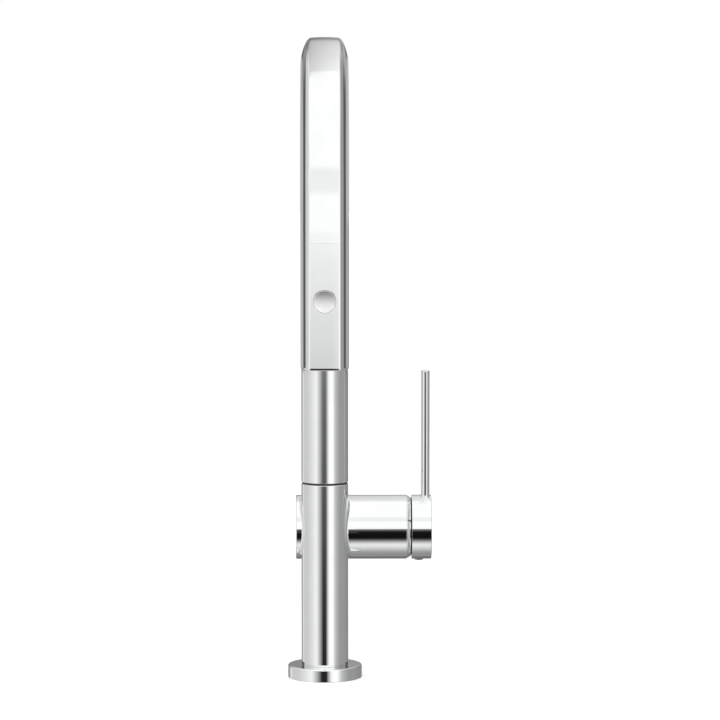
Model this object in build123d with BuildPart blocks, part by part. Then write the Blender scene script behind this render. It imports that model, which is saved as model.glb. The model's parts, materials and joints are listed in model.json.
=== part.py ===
from build123d import *
import os
from math import asin, cos, degrees, radians, sin, sqrt, tan

# Pull-out kitchen mixer for one tap hole: a slim round column, a spout arch that
# swivels on it, a pull-out spray handset at the arch's end and a side lever.
# Millimetres. Z is up and 0 is the worktop. The column stands on the Z axis,
# the spout reaches towards -Y and the lever is on the +X side.

# Foot and column
column_d = 33.0
column_top_z = 137.0
flange_d = 52.0
flange_h = 9.0
flange_edge_r = 1.0
gasket_h = 1.2
gasket_w = 4.0
gasket_inset = 2.0
gasket_play = 0.2
worktop_t = 30.0
shank_d = 32.0
shank_bore_d = 27.0
shank_neck_play = 1.0
shank_below = 62.0
shank_neck_d = 30.0
shank_neck_h = 20.0
thread_clearance = 0.1
washer_play = 0.5
rubber_washer_t = 3.0
steel_washer_t = 1.5
mounting_nut_flats = 42.0
mounting_nut_h = 9.0
tail_room_h = 51.0
tail_carrier_h = 14.0
tail_port_d = 6.9
tail_port_r = 9.9
tail_port_depth = 12.0
tail_socket_wall = 0.85

# Swivel joint between column and spout
turning_ring_t = 1.2
ring_inset = 0.6
ring_play = 0.15
neck_step = 3.5
neck_h = 38.0
hose_passage_d = 10.4
hose_guide_d = 12.4
hose_guide_h = 14.0
socket_gap = 1.0
slide_play = 0.08
bush_groove = 0.5
bush_h = 6.0
bush_z = (6.0, 28.0)
stop_groove_h = 4.6
stop_groove_depth = 1.6
stop_screw_d = 4.0
stop_z = 20.0
swivel_half_range = 75.0

# Spout arch
arch_r = 114.5
arch_centre_z = 316.6
spout_half_w = 15.35
arch_half_w = 15.8
spout_face = 15.9
spout_back = 15.0
face_half_w = 12.6
face_crown = 0.8
corner_r = 2.3
waist = -2.6
spout_bore_d = 24.0
riser_socket_h = 44.0

# Pull-out handset
handset_bottom_z = 236.0
seam_gap = 0.3
handset_wall = 1.8
top_wall = 5.0
dock_neck_d = 19.8
dock_neck_h = 15.0
groove_depth = 0.8
neck_ring_t = 0.95
neck_ring_drop = 7.0
dock_sleeve_id = 20.4
dock_sleeve_od = 25.0
dock_sleeve_h = 16.0
core_d = 25.0
core_bottom_z = 251.0
waterway_d = 8.0
valve_d = 9.7
valve_bore_d = 4.4
valve_room_h = 12.0
valve_poppet_t = 3.0
spray_recess = 1.0
spray_plate_t = 6.5
nozzle_count = 18
nozzle_circle_r = 10.6
nozzle_hole_d = 1.7
nozzle_tip_d = 1.4
aerator_d = 14.8
aerator_cell_r = 1.35
aerator_hole_d = 1.9
chamber_gap = 2.2
chamber_h = 7.0
nozzle_ring_w = 3.2

# Spray button
button_z = 280.0
button_d = 14.2
button_gap = 0.25
button_t = 2.6
button_dish = 0.9
button_travel = 1.6
button_pocket = 5.1
spool_d = 7.8
spool_bore_d = 8.4
stem_d = 4.0
spring_d = 9.6
spring_wire = 0.7
spring_turns = 3

# Pull-out hose
hose_d = 9.0
hose_wall = 1.6
hose_fit = 0.05
ferrule_d = 12.4
ferrule_h = 20.0
ferrule_proud = 1.5
ferrule_floor_t = 1.0
ferrule_bore_d = 5.0
hose_tail = 16.0
end_fitting_d = 10.2
end_fitting_h = 24.0
spigot_collar_h = 6.0
spigot_groove_h = 2.0
spigot_bore_d = 4.8
spigot_d = 9.2
spigot_h = 18.0

# Lever side
housing_d = 45.4
housing_y = 16.5
housing_z = 104.05
housing_left_x = -20.4
housing_right_x = 57.8
housing_edge_r = 0.8
junction_r = 2.0
seat_x = 19.5
seat_port_r = 8.5
seat_port_d = 6.0
seat_port_depth = 8.0
base_port_d = 5.2
disc_port_d = 4.8
seal_t = 1.25
seal_w = 1.5
base_t = 4.4
cartridge_d = 35.0
cartridge_shoulder_x = 46.0
cartridge_neck_d = 26.0
cartridge_neck_x = 53.0
nut_d = 39.0
nut_end_x = 53.6
bore_clearance = 0.2

# Lever hub and pin
tilt_x = 46.3
hub_gap = 3.5
hub_length = 13.95
hub_bowl_r = 26.2
hub_boss_d = 13.0
hub_boss_x = 63.8
hub_edge_r = 0.5
dome_r = 25.2
dome_wall = 1.5
dome_open_angle = 37.0
tilt_range = 18.0
turn_half_range = 45.0
pin_d = 6.3
pin_x = 70.9
pin_top_z = 215.1
pin_foot = 10.5
plug_x = 66.5
plug_d = 6.2
plug_depth = 4.0
plug_proud = 0.6
hub_screw_d = 5.0
stem_size = 7.0
ball_arm = 11.2
ball_r = 2.75
ball_play = 0.25
tilt_pin_d = 3.0
stem_eye_d = 8.8
fixed_disc_t = 4.0
moving_disc_t = 3.4
moving_disc_d = 22.4
mixing_slot_l = 12.0
mixing_slot_w = 6.0
carrier_t = 3.4
slide_w = 13.0
slide_l = 19.0
slide_h = 2.8
shell_roof_t = 3.0
shell_wall = 2.6
rotor_neck_d = 20.5
rotor_slot_l = 13.0
nut_play = 0.6
nut_slot_l = 4.8
nut_slot_w = 3.5
nut_slot_depth = 2.5
arm_r = 2.1
mark_angle = 19.0
mark_t = 0.1
mark_w = 0.9

# Derived values
column_r = column_d / 2
neck_d = column_d - 2 * neck_step
spout_socket_d = neck_d + 2 * socket_gap
housing_r = housing_d / 2
shell_bore_d = cartridge_d - 2 * shell_wall
seal_bore_d = base_port_d + 0.6
ring_top_z = column_top_z + turning_ring_t
riser_bottom_z = ring_top_z + 0.05
reach_y = -2 * arch_r
hub_left_x = housing_right_x + hub_gap
hub_right_x = hub_left_x + hub_length
handset_top_z = arch_centre_z - seam_gap
neck_top_z = arch_centre_z + dock_neck_h
neck_ring_z = neck_top_z - neck_ring_drop
handset_axis = Axis((0, reach_y, 0), (0, 0, 1))
hose_start_z = neck_top_z + ferrule_proud + 3.5
ferrule_bottom_z = neck_top_z + ferrule_proud - ferrule_h
core_r = core_d / 2
button_face_y = reach_y - spout_face
pocket_y = button_face_y + button_pocket + 1.8

os.makedirs("parts", exist_ok=True)


def finish(piece, label):
    """Name a finished piece and write it to its own file."""
    piece.part.label = label
    export_step(piece.part, "parts/" + label + ".step")
    shape = piece.part
    print(label, len(shape.solids()), "solid, volume", round(shape.volume, 1))


def arch_plane(angle):
    """Plane square to the arch, its X along the frame's X and its Y pointing out of the arch."""
    a = radians(angle)
    origin = (0, -arch_r + arch_r * cos(a), arch_centre_z + arch_r * sin(a))
    return Plane(origin=origin, x_dir=(1, 0, 0), z_dir=(0, -sin(a), cos(a)))


def spout_outline(sketch, half_w, inset=0.0):
    """The spout's section: crowned face, small corners, bowed sides and a half-oval back."""
    side = half_w - inset
    face_y = spout_face - inset
    corner_x = face_half_w - 0.7 * inset
    with BuildLine() as outline:
        ThreePointArc((-corner_x, face_y - face_crown), (0, face_y), (corner_x, face_y - face_crown))
        TangentArc((side, waist), (corner_x, face_y - face_crown), tangent=(0, 1))
        TangentArc((-side, waist), (-corner_x, face_y - face_crown), tangent=(0, 1))
        EllipticalCenterArc((0, waist), side, spout_back + waist - inset, start_angle=180, arc_size=180)
    make_face(outline.edges())
    fillet(sketch.vertices().group_by(Axis.Y)[-1], max(corner_r - inset, 0.5))


def ring(label, outer_d, inner_d, bottom_z, height):
    """A plain ring on the Z axis."""
    with BuildPart() as piece:
        with BuildSketch(Plane.XY.offset(bottom_z)):
            Circle(outer_d / 2)
            Circle(inner_d / 2, mode=Mode.SUBTRACT)
        extrude(amount=height)
    finish(piece, label)


# Foot flange: a turned disc with a rounded upper edge, counterbored for the shank
with BuildPart() as base_flange:
    with BuildSketch():
        Circle(flange_d / 2)
    extrude(amount=flange_h)
    fillet(base_flange.edges().group_by(Axis.Z)[-1], flange_edge_r)
    chamfer(base_flange.edges().group_by(Axis.Z)[0], 0.3)
    with BuildSketch():
        Circle(shank_d / 2 + bore_clearance)
    extrude(amount=flange_h / 2, mode=Mode.SUBTRACT)
    with BuildSketch():
        Circle(shank_neck_d / 2 + bore_clearance)
    extrude(amount=flange_h, mode=Mode.SUBTRACT)
    with BuildSketch():
        Circle(flange_d / 2 - gasket_inset)
        Circle(flange_d / 2 - gasket_inset - gasket_w - 2 * gasket_play, mode=Mode.SUBTRACT)
    extrude(amount=gasket_h, mode=Mode.SUBTRACT)
finish(base_flange, "base_flange")

gasket_d = flange_d - 2 * (gasket_inset + gasket_play)
ring("base_gasket", gasket_d, gasket_d - 2 * gasket_w, 0, gasket_h)

# Column: upright tube with its neck, and the level housing of the cartridge behind it
axis_plane = Plane(origin=(tilt_x, housing_y, housing_z), x_dir=(1, 0, 0), z_dir=(0, -1, 0))
housing_axis = Axis((0, housing_y, housing_z), (1, 0, 0))
housing_plane = Plane(origin=(0, housing_y, housing_z), x_dir=(0, 1, 0), z_dir=(1, 0, 0))
with BuildPart() as column_body:
    with BuildSketch(housing_plane.offset(housing_left_x)):
        Circle(housing_r)
    extrude(amount=housing_right_x - housing_left_x)
    fillet(column_body.edges().group_by(Axis.X)[0], housing_edge_r)
    fillet(column_body.edges().group_by(Axis.X)[-1], housing_edge_r / 2)
    with BuildSketch(Plane.XY.offset(flange_h)):
        Circle(column_r)
    extrude(amount=column_top_z - flange_h)
    meeting = [edge for edge in column_body.edges() if edge.geom_type not in (GeomType.CIRCLE, GeomType.LINE)]
    fillet(meeting, junction_r)
    top_rim = column_body.edges().filter_by(GeomType.CIRCLE).group_by(Axis.Z)[-1]
    chamfer(top_rim, 0.3)
    # Neck that carries the spout, with grooves for the bushes and the swivel stop
    with BuildSketch(Plane.XY.offset(column_top_z)):
        Circle(neck_d / 2)
    extrude(amount=neck_h)
    chamfer(column_body.faces().sort_by(Axis.Z)[-1].edges(), 0.6)
    for height in bush_z:
        with BuildSketch(Plane.XY.offset(column_top_z + height)):
            Circle(neck_d / 2 + 0.1)
            Circle(neck_d / 2 - bush_groove, mode=Mode.SUBTRACT)
        extrude(amount=bush_h, mode=Mode.SUBTRACT)
    stop_half_turn = swivel_half_range + degrees(asin(stop_screw_d / neck_d)) + 2.0
    with BuildSketch(Plane.YZ) as groove_profile:
        with Locations((neck_d / 2, column_top_z + stop_z)):
            Rectangle(2 * stop_groove_depth, stop_groove_h)
    revolve(axis=Axis.Z, revolution_arc=stop_half_turn, mode=Mode.SUBTRACT)
    with BuildSketch(Plane.YZ):
        with Locations((neck_d / 2, column_top_z + stop_z)):
            Rectangle(2 * stop_groove_depth, stop_groove_h)
    revolve(axis=Axis.Z, revolution_arc=-stop_half_turn, mode=Mode.SUBTRACT)
    # Bores from below: one for the shank, the tails and their carrier, then the hose passage
    with BuildSketch(Plane.XY.offset(flange_h)):
        Circle(shank_neck_d / 2 + thread_clearance)
    extrude(amount=tail_room_h + tail_carrier_h, mode=Mode.SUBTRACT)
    with BuildSketch(Plane.XY.offset(flange_h)):
        Circle(hose_passage_d / 2)
    extrude(amount=column_top_z + neck_h, mode=Mode.SUBTRACT)
    with BuildSketch(Plane.XY.offset(column_top_z + neck_h - hose_guide_h)):
        Circle(hose_guide_d / 2)
    extrude(amount=hose_guide_h, mode=Mode.SUBTRACT)
    # Cartridge seat and the thread of its nut
    with BuildSketch(housing_plane.offset(seat_x)):
        Circle(cartridge_d / 2 + bore_clearance)
    extrude(amount=housing_right_x - seat_x, mode=Mode.SUBTRACT)
    with BuildSketch(housing_plane.offset(cartridge_shoulder_x)):
        Circle(nut_d / 2 + thread_clearance)
    extrude(amount=housing_right_x - cartridge_shoulder_x, mode=Mode.SUBTRACT)
    with BuildSketch(housing_plane.offset(seat_x - seat_port_depth)):
        with PolarLocations(seat_port_r, 3, start_angle=90):
            Circle(seat_port_d / 2)
    extrude(amount=seat_port_depth, mode=Mode.SUBTRACT)
finish(column_body, "column_body")

# Carrier disc in the top of that bore, and the three turned sockets that the tails screw into
tail_plane = Plane.XY.offset(flange_h + tail_room_h)
tail_socket_r = tail_port_d / 2 + tail_socket_wall
with BuildPart() as tail_carrier:
    with BuildSketch(tail_plane):
        Circle(shank_neck_d / 2)
        Circle(hose_passage_d / 2, mode=Mode.SUBTRACT)
        with PolarLocations(tail_port_r, 3, start_angle=90):
            Circle(tail_socket_r + 0.05, mode=Mode.SUBTRACT)
    extrude(amount=tail_carrier_h)
finish(tail_carrier, "tail_carrier")

for socket_name, angle in (("mixed_socket", 90), ("hot_socket", 210), ("cold_socket", 330)):
    with BuildPart() as tail_socket:
        with BuildSketch(tail_plane):
            with PolarLocations(tail_port_r, 1, start_angle=angle):
                Circle(tail_socket_r)
        extrude(amount=tail_carrier_h - 0.05)
        with BuildSketch(tail_plane):
            with PolarLocations(tail_port_r, 1, start_angle=angle):
                Circle(tail_port_d / 2)
        extrude(amount=tail_port_depth, mode=Mode.SUBTRACT)
    finish(tail_socket, socket_name)

# Threaded shank through the worktop, with a narrower neck that screws into the column
with BuildPart() as mounting_shank:
    with BuildSketch(Plane.XY.offset(-shank_below)):
        Circle(shank_d / 2)
    extrude(amount=shank_below + flange_h / 2 - 0.1)
    with BuildSketch(Plane.XY.offset(flange_h / 2 - 0.1)):
        Circle(shank_neck_d / 2)
    extrude(amount=flange_h / 2 + shank_neck_h - shank_neck_play)
    chamfer(mounting_shank.edges().group_by(Axis.Z)[0], 1.0)
    with BuildSketch(Plane.XY.offset(-shank_below)):
        Circle(shank_bore_d / 2)
    extrude(amount=shank_below + flange_h + shank_neck_h, mode=Mode.SUBTRACT)
finish(mounting_shank, "mounting_shank")

rubber_z = -worktop_t - rubber_washer_t
washer_z = rubber_z - steel_washer_t
ring("rubber_washer", flange_d, shank_d + washer_play, rubber_z, rubber_washer_t)
ring("steel_washer", flange_d - 2, shank_d + washer_play, washer_z, steel_washer_t)

with BuildPart() as mounting_nut:
    with BuildSketch(Plane.XY.offset(washer_z - mounting_nut_h)):
        RegularPolygon(mounting_nut_flats / 2, 6, major_radius=False)
        Circle(shank_d / 2 + thread_clearance, mode=Mode.SUBTRACT)
    extrude(amount=mounting_nut_h)
finish(mounting_nut, "mounting_nut")

# Turning ring between column and riser, and the two slide bushes in the neck's grooves
ring("turning_ring", column_d - 2 * ring_inset, neck_d + 2 * ring_play, column_top_z, turning_ring_t)

with BuildPart() as neck_bushes:
    for height in bush_z:
        with BuildSketch(Plane.XY.offset(column_top_z + height + 0.1)):
            Circle(neck_d / 2 + socket_gap - slide_play)
            Circle(neck_d / 2 - bush_groove + 0.05, mode=Mode.SUBTRACT)
        extrude(amount=bush_h - 0.2)
finish(neck_bushes, "neck_bushes")

# Guide that keeps the hose on the swivel axis at the top of the neck
with BuildPart() as hose_guide:
    with BuildSketch(Plane.XY.offset(column_top_z + neck_h - hose_guide_h + 0.05)):
        Circle(hose_guide_d / 2 - 0.05)
    extrude(amount=hose_guide_h - 0.05)
    with BuildSketch(Plane.XY.offset(column_top_z + neck_h)):
        Circle(hose_guide_d / 2 + 3)
    extrude(amount=1.5)
    with BuildSketch(Plane.XY.offset(column_top_z)):
        Circle(hose_d / 2 + 0.3)
    extrude(amount=2 * neck_h, mode=Mode.SUBTRACT)
finish(hose_guide, "hose_guide")

# Spout: round riser and half-circle arch, whose section turns from round to faced on the way up
with BuildPart() as spout_tube:
    with BuildSketch(Plane.XY.offset(riser_bottom_z)):
        Circle(column_r)
    extrude(amount=arch_centre_z - riser_bottom_z)
    chamfer(spout_tube.edges().group_by(Axis.Z)[0], 0.3)
    with BuildLine(Plane.YZ) as arch_line:
        CenterArc((-arch_r, arch_centre_z), arch_r, 0, 180)
    with BuildSketch(arch_plane(0)):
        Circle(column_r)
    with BuildSketch(arch_plane(75)) as arch_crown:
        spout_outline(arch_crown, arch_half_w)
    with BuildSketch(arch_plane(180)) as arch_end:
        spout_outline(arch_end, spout_half_w)
    sweep(path=arch_line.line, multisection=True)
    # Hose passage: spigot socket, straight bore, arch bore and the dock's straight counterbore
    with BuildSketch(Plane.XY.offset(riser_bottom_z)):
        Circle(spout_socket_d / 2)
    extrude(amount=riser_socket_h, mode=Mode.SUBTRACT)
    with BuildSketch(Plane.XY.offset(riser_bottom_z)):
        Circle(spout_bore_d / 2)
    extrude(amount=arch_centre_z - riser_bottom_z, mode=Mode.SUBTRACT)
    with BuildSketch(arch_plane(0)):
        Circle(spout_bore_d / 2)
    revolve(axis=Axis((0, -arch_r, arch_centre_z), (1, 0, 0)), revolution_arc=180, mode=Mode.SUBTRACT)
    with BuildSketch(Plane.XY.offset(arch_centre_z)):
        with Locations((0, reach_y)):
            Circle(dock_sleeve_od / 2 + 0.05)
    extrude(amount=dock_sleeve_h + 0.3, mode=Mode.SUBTRACT)
    stop_plane = Plane(origin=(0, 0, column_top_z + stop_z), x_dir=(1, 0, 0), z_dir=(0, 1, 0))
    with BuildSketch(stop_plane):
        Circle(stop_screw_d / 2 + 0.02)
    extrude(amount=column_d, mode=Mode.SUBTRACT)
finish(spout_tube, "spout_tube")

with BuildPart() as spout_stop_screw:
    with BuildSketch(stop_plane.offset(neck_d / 2 - stop_groove_depth + 0.4)):
        Circle(stop_screw_d / 2)
    extrude(amount=column_r - neck_d / 2 + stop_groove_depth - 0.9)
    with BuildSketch(stop_plane.offset(column_r - 2.0)):
        RegularPolygon(1.0, 6, major_radius=False)
    extrude(amount=3, mode=Mode.SUBTRACT)
finish(spout_stop_screw, "spout_stop_screw")

# Docking sleeve in the arch's end, with a lead-in for the handset's neck
with BuildPart() as dock_sleeve:
    with BuildSketch(Plane.XY.offset(arch_centre_z + 0.2)):
        with Locations((0, reach_y)):
            Circle(dock_sleeve_od / 2)
            Circle(dock_sleeve_id / 2, mode=Mode.SUBTRACT)
    extrude(amount=dock_sleeve_h)
    chamfer(dock_sleeve.faces().sort_by(Axis.Z)[0].edges().sort_by(SortBy.RADIUS)[0], 0.8)
finish(dock_sleeve, "dock_sleeve")

# Handset shell: the arch's section carried straight down, open below, with a hole for the neck
handset_plane = Plane(origin=(0, reach_y, handset_bottom_z), x_dir=(1, 0, 0), z_dir=(0, 0, -1))
with BuildPart() as handset_shell:
    with BuildSketch(handset_plane) as shell_outside:
        spout_outline(shell_outside, spout_half_w)
    extrude(amount=-(handset_top_z - handset_bottom_z))
    fillet(handset_shell.faces().sort_by(Axis.Z)[0].edges(), 0.6)
    with BuildSketch(handset_plane) as shell_inside:
        spout_outline(shell_inside, spout_half_w, handset_wall)
    extrude(amount=-(handset_top_z - handset_bottom_z - top_wall), mode=Mode.SUBTRACT)
    with BuildSketch(handset_plane):
        Circle(dock_neck_d / 2 + bore_clearance)
    extrude(amount=-(handset_top_z - handset_bottom_z), mode=Mode.SUBTRACT)
    button_plane = Plane(origin=(0, button_face_y, button_z), x_dir=(1, 0, 0), z_dir=(0, -1, 0))
    with BuildSketch(button_plane.offset(1)):
        Circle(button_d / 2 + button_gap)
    extrude(amount=-(handset_wall + 3), mode=Mode.SUBTRACT)
finish(handset_shell, "handset_shell")

# Water core inside the handset: neck, valve bore behind the button, chamber over the spray face
core_top_z = handset_top_z - top_wall - 0.05
with BuildPart() as handset_core:
    with BuildSketch(Plane.XY.offset(core_bottom_z)):
        with Locations((0, reach_y)):
            Circle(core_r)
    extrude(amount=core_top_z - core_bottom_z)
    with BuildSketch(Plane.XY.offset(core_bottom_z)):
        with Locations((0, reach_y)):
            Circle(dock_neck_d / 2)
    extrude(amount=neck_top_z - core_bottom_z)
    chamfer(handset_core.faces().sort_by(Axis.Z)[-1].edges(), 0.8)
    with BuildSketch(Plane.XY.offset(neck_ring_z - neck_ring_t / 2 - 0.1)):
        with Locations((0, reach_y)):
            Circle(dock_neck_d / 2 + 1)
            Circle(dock_neck_d / 2 - groove_depth, mode=Mode.SUBTRACT)
    extrude(amount=neck_ring_t + 0.2, mode=Mode.SUBTRACT)
    with BuildSketch(Plane.XY.offset(ferrule_bottom_z - 0.1)):
        with Locations((0, reach_y)):
            Circle(ferrule_d / 2 + bore_clearance)
    extrude(amount=40, mode=Mode.SUBTRACT)
    with BuildSketch(Plane.XY.offset(ferrule_bottom_z - valve_room_h)):
        with Locations((0, reach_y)):
            Circle(valve_d / 2 + 0.15)
    extrude(amount=valve_room_h, mode=Mode.SUBTRACT)
    with BuildSketch(Plane.XY.offset(core_bottom_z)):
        with Locations((0, reach_y)):
            Circle(waterway_d / 2)
    extrude(amount=60, mode=Mode.SUBTRACT)
    with BuildSketch(Plane.XY.offset(core_bottom_z)):
        with Locations((0, reach_y)):
            Circle(aerator_d / 2 + chamber_gap)
    extrude(amount=chamber_h, mode=Mode.SUBTRACT)
    spool_plane = Plane(origin=(0, pocket_y, button_z), x_dir=(1, 0, 0), z_dir=(0, -1, 0))
    with BuildSketch(spool_plane):
        Circle(button_d / 2 + 0.6)
    extrude(amount=20, mode=Mode.SUBTRACT)
    with BuildSketch(spool_plane.offset(-15.5)):
        Circle(spool_bore_d / 2)
    extrude(amount=20, mode=Mode.SUBTRACT)
finish(handset_core, "handset_core")

# Soft ring in the neck's groove, which holds the handset in its dock
with BuildPart() as neck_ring:
    with BuildSketch(Plane(origin=(0, reach_y, 0), x_dir=(1, 0, 0), z_dir=(0, -1, 0))):
        with Locations((dock_neck_d / 2 - groove_depth + 0.05 + neck_ring_t / 2, neck_ring_z)):
            Circle(neck_ring_t / 2)
    revolve(axis=handset_axis)
finish(neck_ring, "neck_ring")

# Non-return valve under the hose end
with BuildPart() as check_valve:
    with BuildSketch(Plane.XY.offset(ferrule_bottom_z - valve_room_h + 0.2)):
        with Locations((0, reach_y)):
            Circle(valve_d / 2)
            Circle(valve_bore_d / 2, mode=Mode.SUBTRACT)
    extrude(amount=valve_room_h - 0.5)
    with BuildSketch(Plane.XY.offset(ferrule_bottom_z - valve_room_h + 5)):
        with Locations((0, reach_y)):
            Circle(valve_bore_d / 2 + 1.0)
    extrude(amount=valve_poppet_t)
finish(check_valve, "check_valve")

# Crimped sleeve on the hose's upper end, screwed into the handset's neck
with BuildPart() as hose_ferrule:
    with BuildSketch(Plane.XY.offset(ferrule_bottom_z)):
        with Locations((0, reach_y)):
            Circle(ferrule_d / 2)
            Circle(hose_d / 2 + hose_fit, mode=Mode.SUBTRACT)
    extrude(amount=ferrule_h)
    chamfer(hose_ferrule.faces().sort_by(Axis.Z)[-1].edges().sort_by(SortBy.RADIUS)[-1], 0.7)
    with BuildSketch(Plane.XY.offset(ferrule_bottom_z)):
        with Locations((0, reach_y)):
            Circle(hose_d / 2 + hose_fit)
            Circle(ferrule_bore_d / 2, mode=Mode.SUBTRACT)
    extrude(amount=ferrule_floor_t)
finish(hose_ferrule, "hose_ferrule")

# Stretch of hose that follows the handset out of the arch
with BuildPart() as hose_drawn:
    with BuildSketch(Plane.XY.offset(ferrule_bottom_z + ferrule_floor_t + 0.05)):
        with Locations((0, reach_y)):
            Circle(hose_d / 2)
            Circle(hose_d / 2 - hose_wall, mode=Mode.SUBTRACT)
    extrude(amount=hose_start_z - ferrule_bottom_z - ferrule_floor_t - 0.1)
finish(hose_drawn, "hose_drawn")

# Hose through the arch and down the riser: two straight runs and three arcs of 60 degrees
corner_z = arch_centre_z + arch_r * tan(radians(30))
dock_bend_r = (corner_z - hose_start_z) / tan(radians(30))
with BuildPart() as hose_arch:
    with BuildLine(Plane.YZ) as hose_route:
        FilletPolyline(
            (reach_y, hose_start_z - 0.01),
            (reach_y, corner_z),
            (-arch_r, corner_z + arch_r * tan(radians(30))),
            (0, corner_z),
            (0, ring_top_z),
            radius=[dock_bend_r * 0.999, arch_r * 0.999, arch_r * 0.999],
        )
    with BuildSketch(Plane.XY.offset(hose_start_z - 0.01)):
        with Locations((0, reach_y)):
            Circle(hose_d / 2)
            Circle(hose_d / 2 - hose_wall, mode=Mode.SUBTRACT)
    sweep(path=hose_route.line)
finish(hose_arch, "hose_arch")
print("hose route", round(hose_route.wire().length, 1), "mm, tightest bend", round(dock_bend_r, 1), "mm")

with BuildPart() as hose_lower:
    with BuildSketch(Plane.XY.offset(-shank_below - hose_tail)):
        Circle(hose_d / 2)
        Circle(hose_d / 2 - hose_wall, mode=Mode.SUBTRACT)
    extrude(amount=shank_below + hose_tail + ring_top_z - 0.05)
finish(hose_lower, "hose_lower")

# Slim plug-in fitting crimped on the hose's lower end, narrow enough for the hose passage
hose_foot_z = -shank_below - hose_tail
with BuildPart() as hose_end_fitting:
    with BuildSketch(Plane.XY.offset(hose_foot_z - spigot_collar_h)):
        Circle(end_fitting_d / 2)
    extrude(amount=end_fitting_h)
    chamfer(hose_end_fitting.edges().group_by(Axis.Z)[-1], 0.3)
    with BuildSketch(Plane.XY.offset(hose_foot_z - spigot_collar_h - spigot_h)):
        Circle(spigot_d / 2)
    extrude(amount=spigot_h)
    chamfer(hose_end_fitting.edges().group_by(Axis.Z)[0], 0.5)
    for groove in (9, 14):
        with BuildSketch(Plane.XY.offset(hose_foot_z - spigot_collar_h - groove)):
            Circle(spigot_d)
            Circle(spigot_d / 2 - 1.0, mode=Mode.SUBTRACT)
        extrude(amount=spigot_groove_h, mode=Mode.SUBTRACT)
    with BuildSketch(Plane.XY.offset(hose_foot_z - 0.05)):
        Circle(hose_d / 2 + hose_fit)
    extrude(amount=40, mode=Mode.SUBTRACT)
    with BuildSketch(Plane.XY.offset(hose_foot_z - spigot_collar_h - spigot_h)):
        Circle(spigot_bore_d / 2)
    extrude(amount=end_fitting_h + spigot_h, mode=Mode.SUBTRACT)
finish(hose_end_fitting, "hose_end_fitting")

# Spray button: a dished cap flush with the face, on the stem of the valve spool
with BuildPart() as button_cap:
    with BuildSketch(button_plane.offset(-button_t)):
        Circle(button_d / 2)
    extrude(amount=button_t)
    fillet(button_cap.edges().group_by(Axis.Y)[0], 0.25)
    dish_r = ((button_d / 2 - 0.8) ** 2 + button_dish ** 2) / (2 * button_dish)
    with Locations((0, button_face_y + button_dish - dish_r, button_z)):
        Sphere(dish_r, mode=Mode.SUBTRACT)
    with BuildSketch(button_plane.offset(-button_t)):
        Circle(stem_d / 2)
    extrude(amount=-(button_pocket - button_t + 3.0))
finish(button_cap, "button_cap")

spool_front_y = button_face_y + button_pocket + 3.05
with BuildPart() as valve_spool:
    with BuildSketch(Plane(origin=(0, spool_front_y, button_z), x_dir=(1, 0, 0), z_dir=(0, 1, 0))):
        Circle(spool_d / 2)
    extrude(amount=11.5)
    for groove in (2.5, 7.0):
        with BuildSketch(Plane(origin=(0, spool_front_y + groove, button_z), x_dir=(1, 0, 0), z_dir=(0, 1, 0))):
            Circle(spool_d)
            Circle(spool_d / 2 - 1.2, mode=Mode.SUBTRACT)
        extrude(amount=1.8, mode=Mode.SUBTRACT)
finish(valve_spool, "valve_spool")

with BuildPart() as button_spring:
    spring_pitch = (pocket_y - button_face_y - button_t - button_travel - spring_wire - 0.15) / spring_turns
    with BuildLine():
        coil = Helix(
            spring_pitch,
            spring_pitch * spring_turns,
            spring_d / 2 - spring_wire / 2,
            center=(0, pocket_y - spring_wire / 2 - 0.05, button_z),
            direction=(0, -1, 0),
        )
    with BuildSketch(Plane(origin=coil @ 0, z_dir=coil % 0)):
        Circle(spring_wire / 2)
    sweep(path=coil, is_frenet=True)
finish(button_spring, "button_spring")

# Spray face: plate with a ring of nozzle holes, the soft nozzles behind it and the aerator
plate_bottom_z = handset_bottom_z + spray_recess
nozzle_axis = Plane.XY.offset(plate_bottom_z)
with BuildPart() as spray_plate:
    plate_plane = Plane(origin=(0, reach_y, plate_bottom_z), x_dir=(1, 0, 0), z_dir=(0, 0, -1))
    with BuildSketch(plate_plane) as plate_outline:
        spout_outline(plate_outline, spout_half_w, handset_wall + 0.1)
    extrude(amount=-spray_plate_t)
    with BuildSketch(nozzle_axis):
        with Locations((0, reach_y)):
            Circle(aerator_d / 2 + 0.1)
            with PolarLocations(nozzle_circle_r, nozzle_count):
                Circle(nozzle_hole_d / 2)
    extrude(amount=spray_plate_t, mode=Mode.SUBTRACT)
finish(spray_plate, "spray_plate")

with BuildPart() as spray_nozzles:
    with BuildSketch(Plane.XY.offset(plate_bottom_z + spray_plate_t)):
        with Locations((0, reach_y)):
            Circle(nozzle_circle_r + nozzle_ring_w / 2)
            Circle(nozzle_circle_r - nozzle_ring_w / 2, mode=Mode.SUBTRACT)
    extrude(amount=1.0)
    with BuildSketch(Plane.XY.offset(plate_bottom_z - 0.5)):
        with Locations((0, reach_y)):
            with PolarLocations(nozzle_circle_r, nozzle_count):
                Circle(nozzle_tip_d / 2)
    extrude(amount=spray_plate_t + 0.6)
finish(spray_nozzles, "spray_nozzles")

with BuildPart() as aerator:
    with BuildSketch(Plane.XY.offset(plate_bottom_z + 0.3)):
        with Locations((0, reach_y)):
            Circle(aerator_d / 2)
    extrude(amount=core_bottom_z - plate_bottom_z - 0.3 + 4)
    with BuildSketch(Plane.XY.offset(plate_bottom_z + 2.3)):
        with Locations((0, reach_y)):
            Circle(aerator_d / 2 - 1.0)
    extrude(amount=20, mode=Mode.SUBTRACT)
    with BuildSketch(nozzle_axis):
        with Locations((0, reach_y)):
            with HexLocations(aerator_cell_r, 5, 5):
                Circle(aerator_hole_d / 2)
    extrude(amount=4, mode=Mode.SUBTRACT)
finish(aerator, "aerator")

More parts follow.
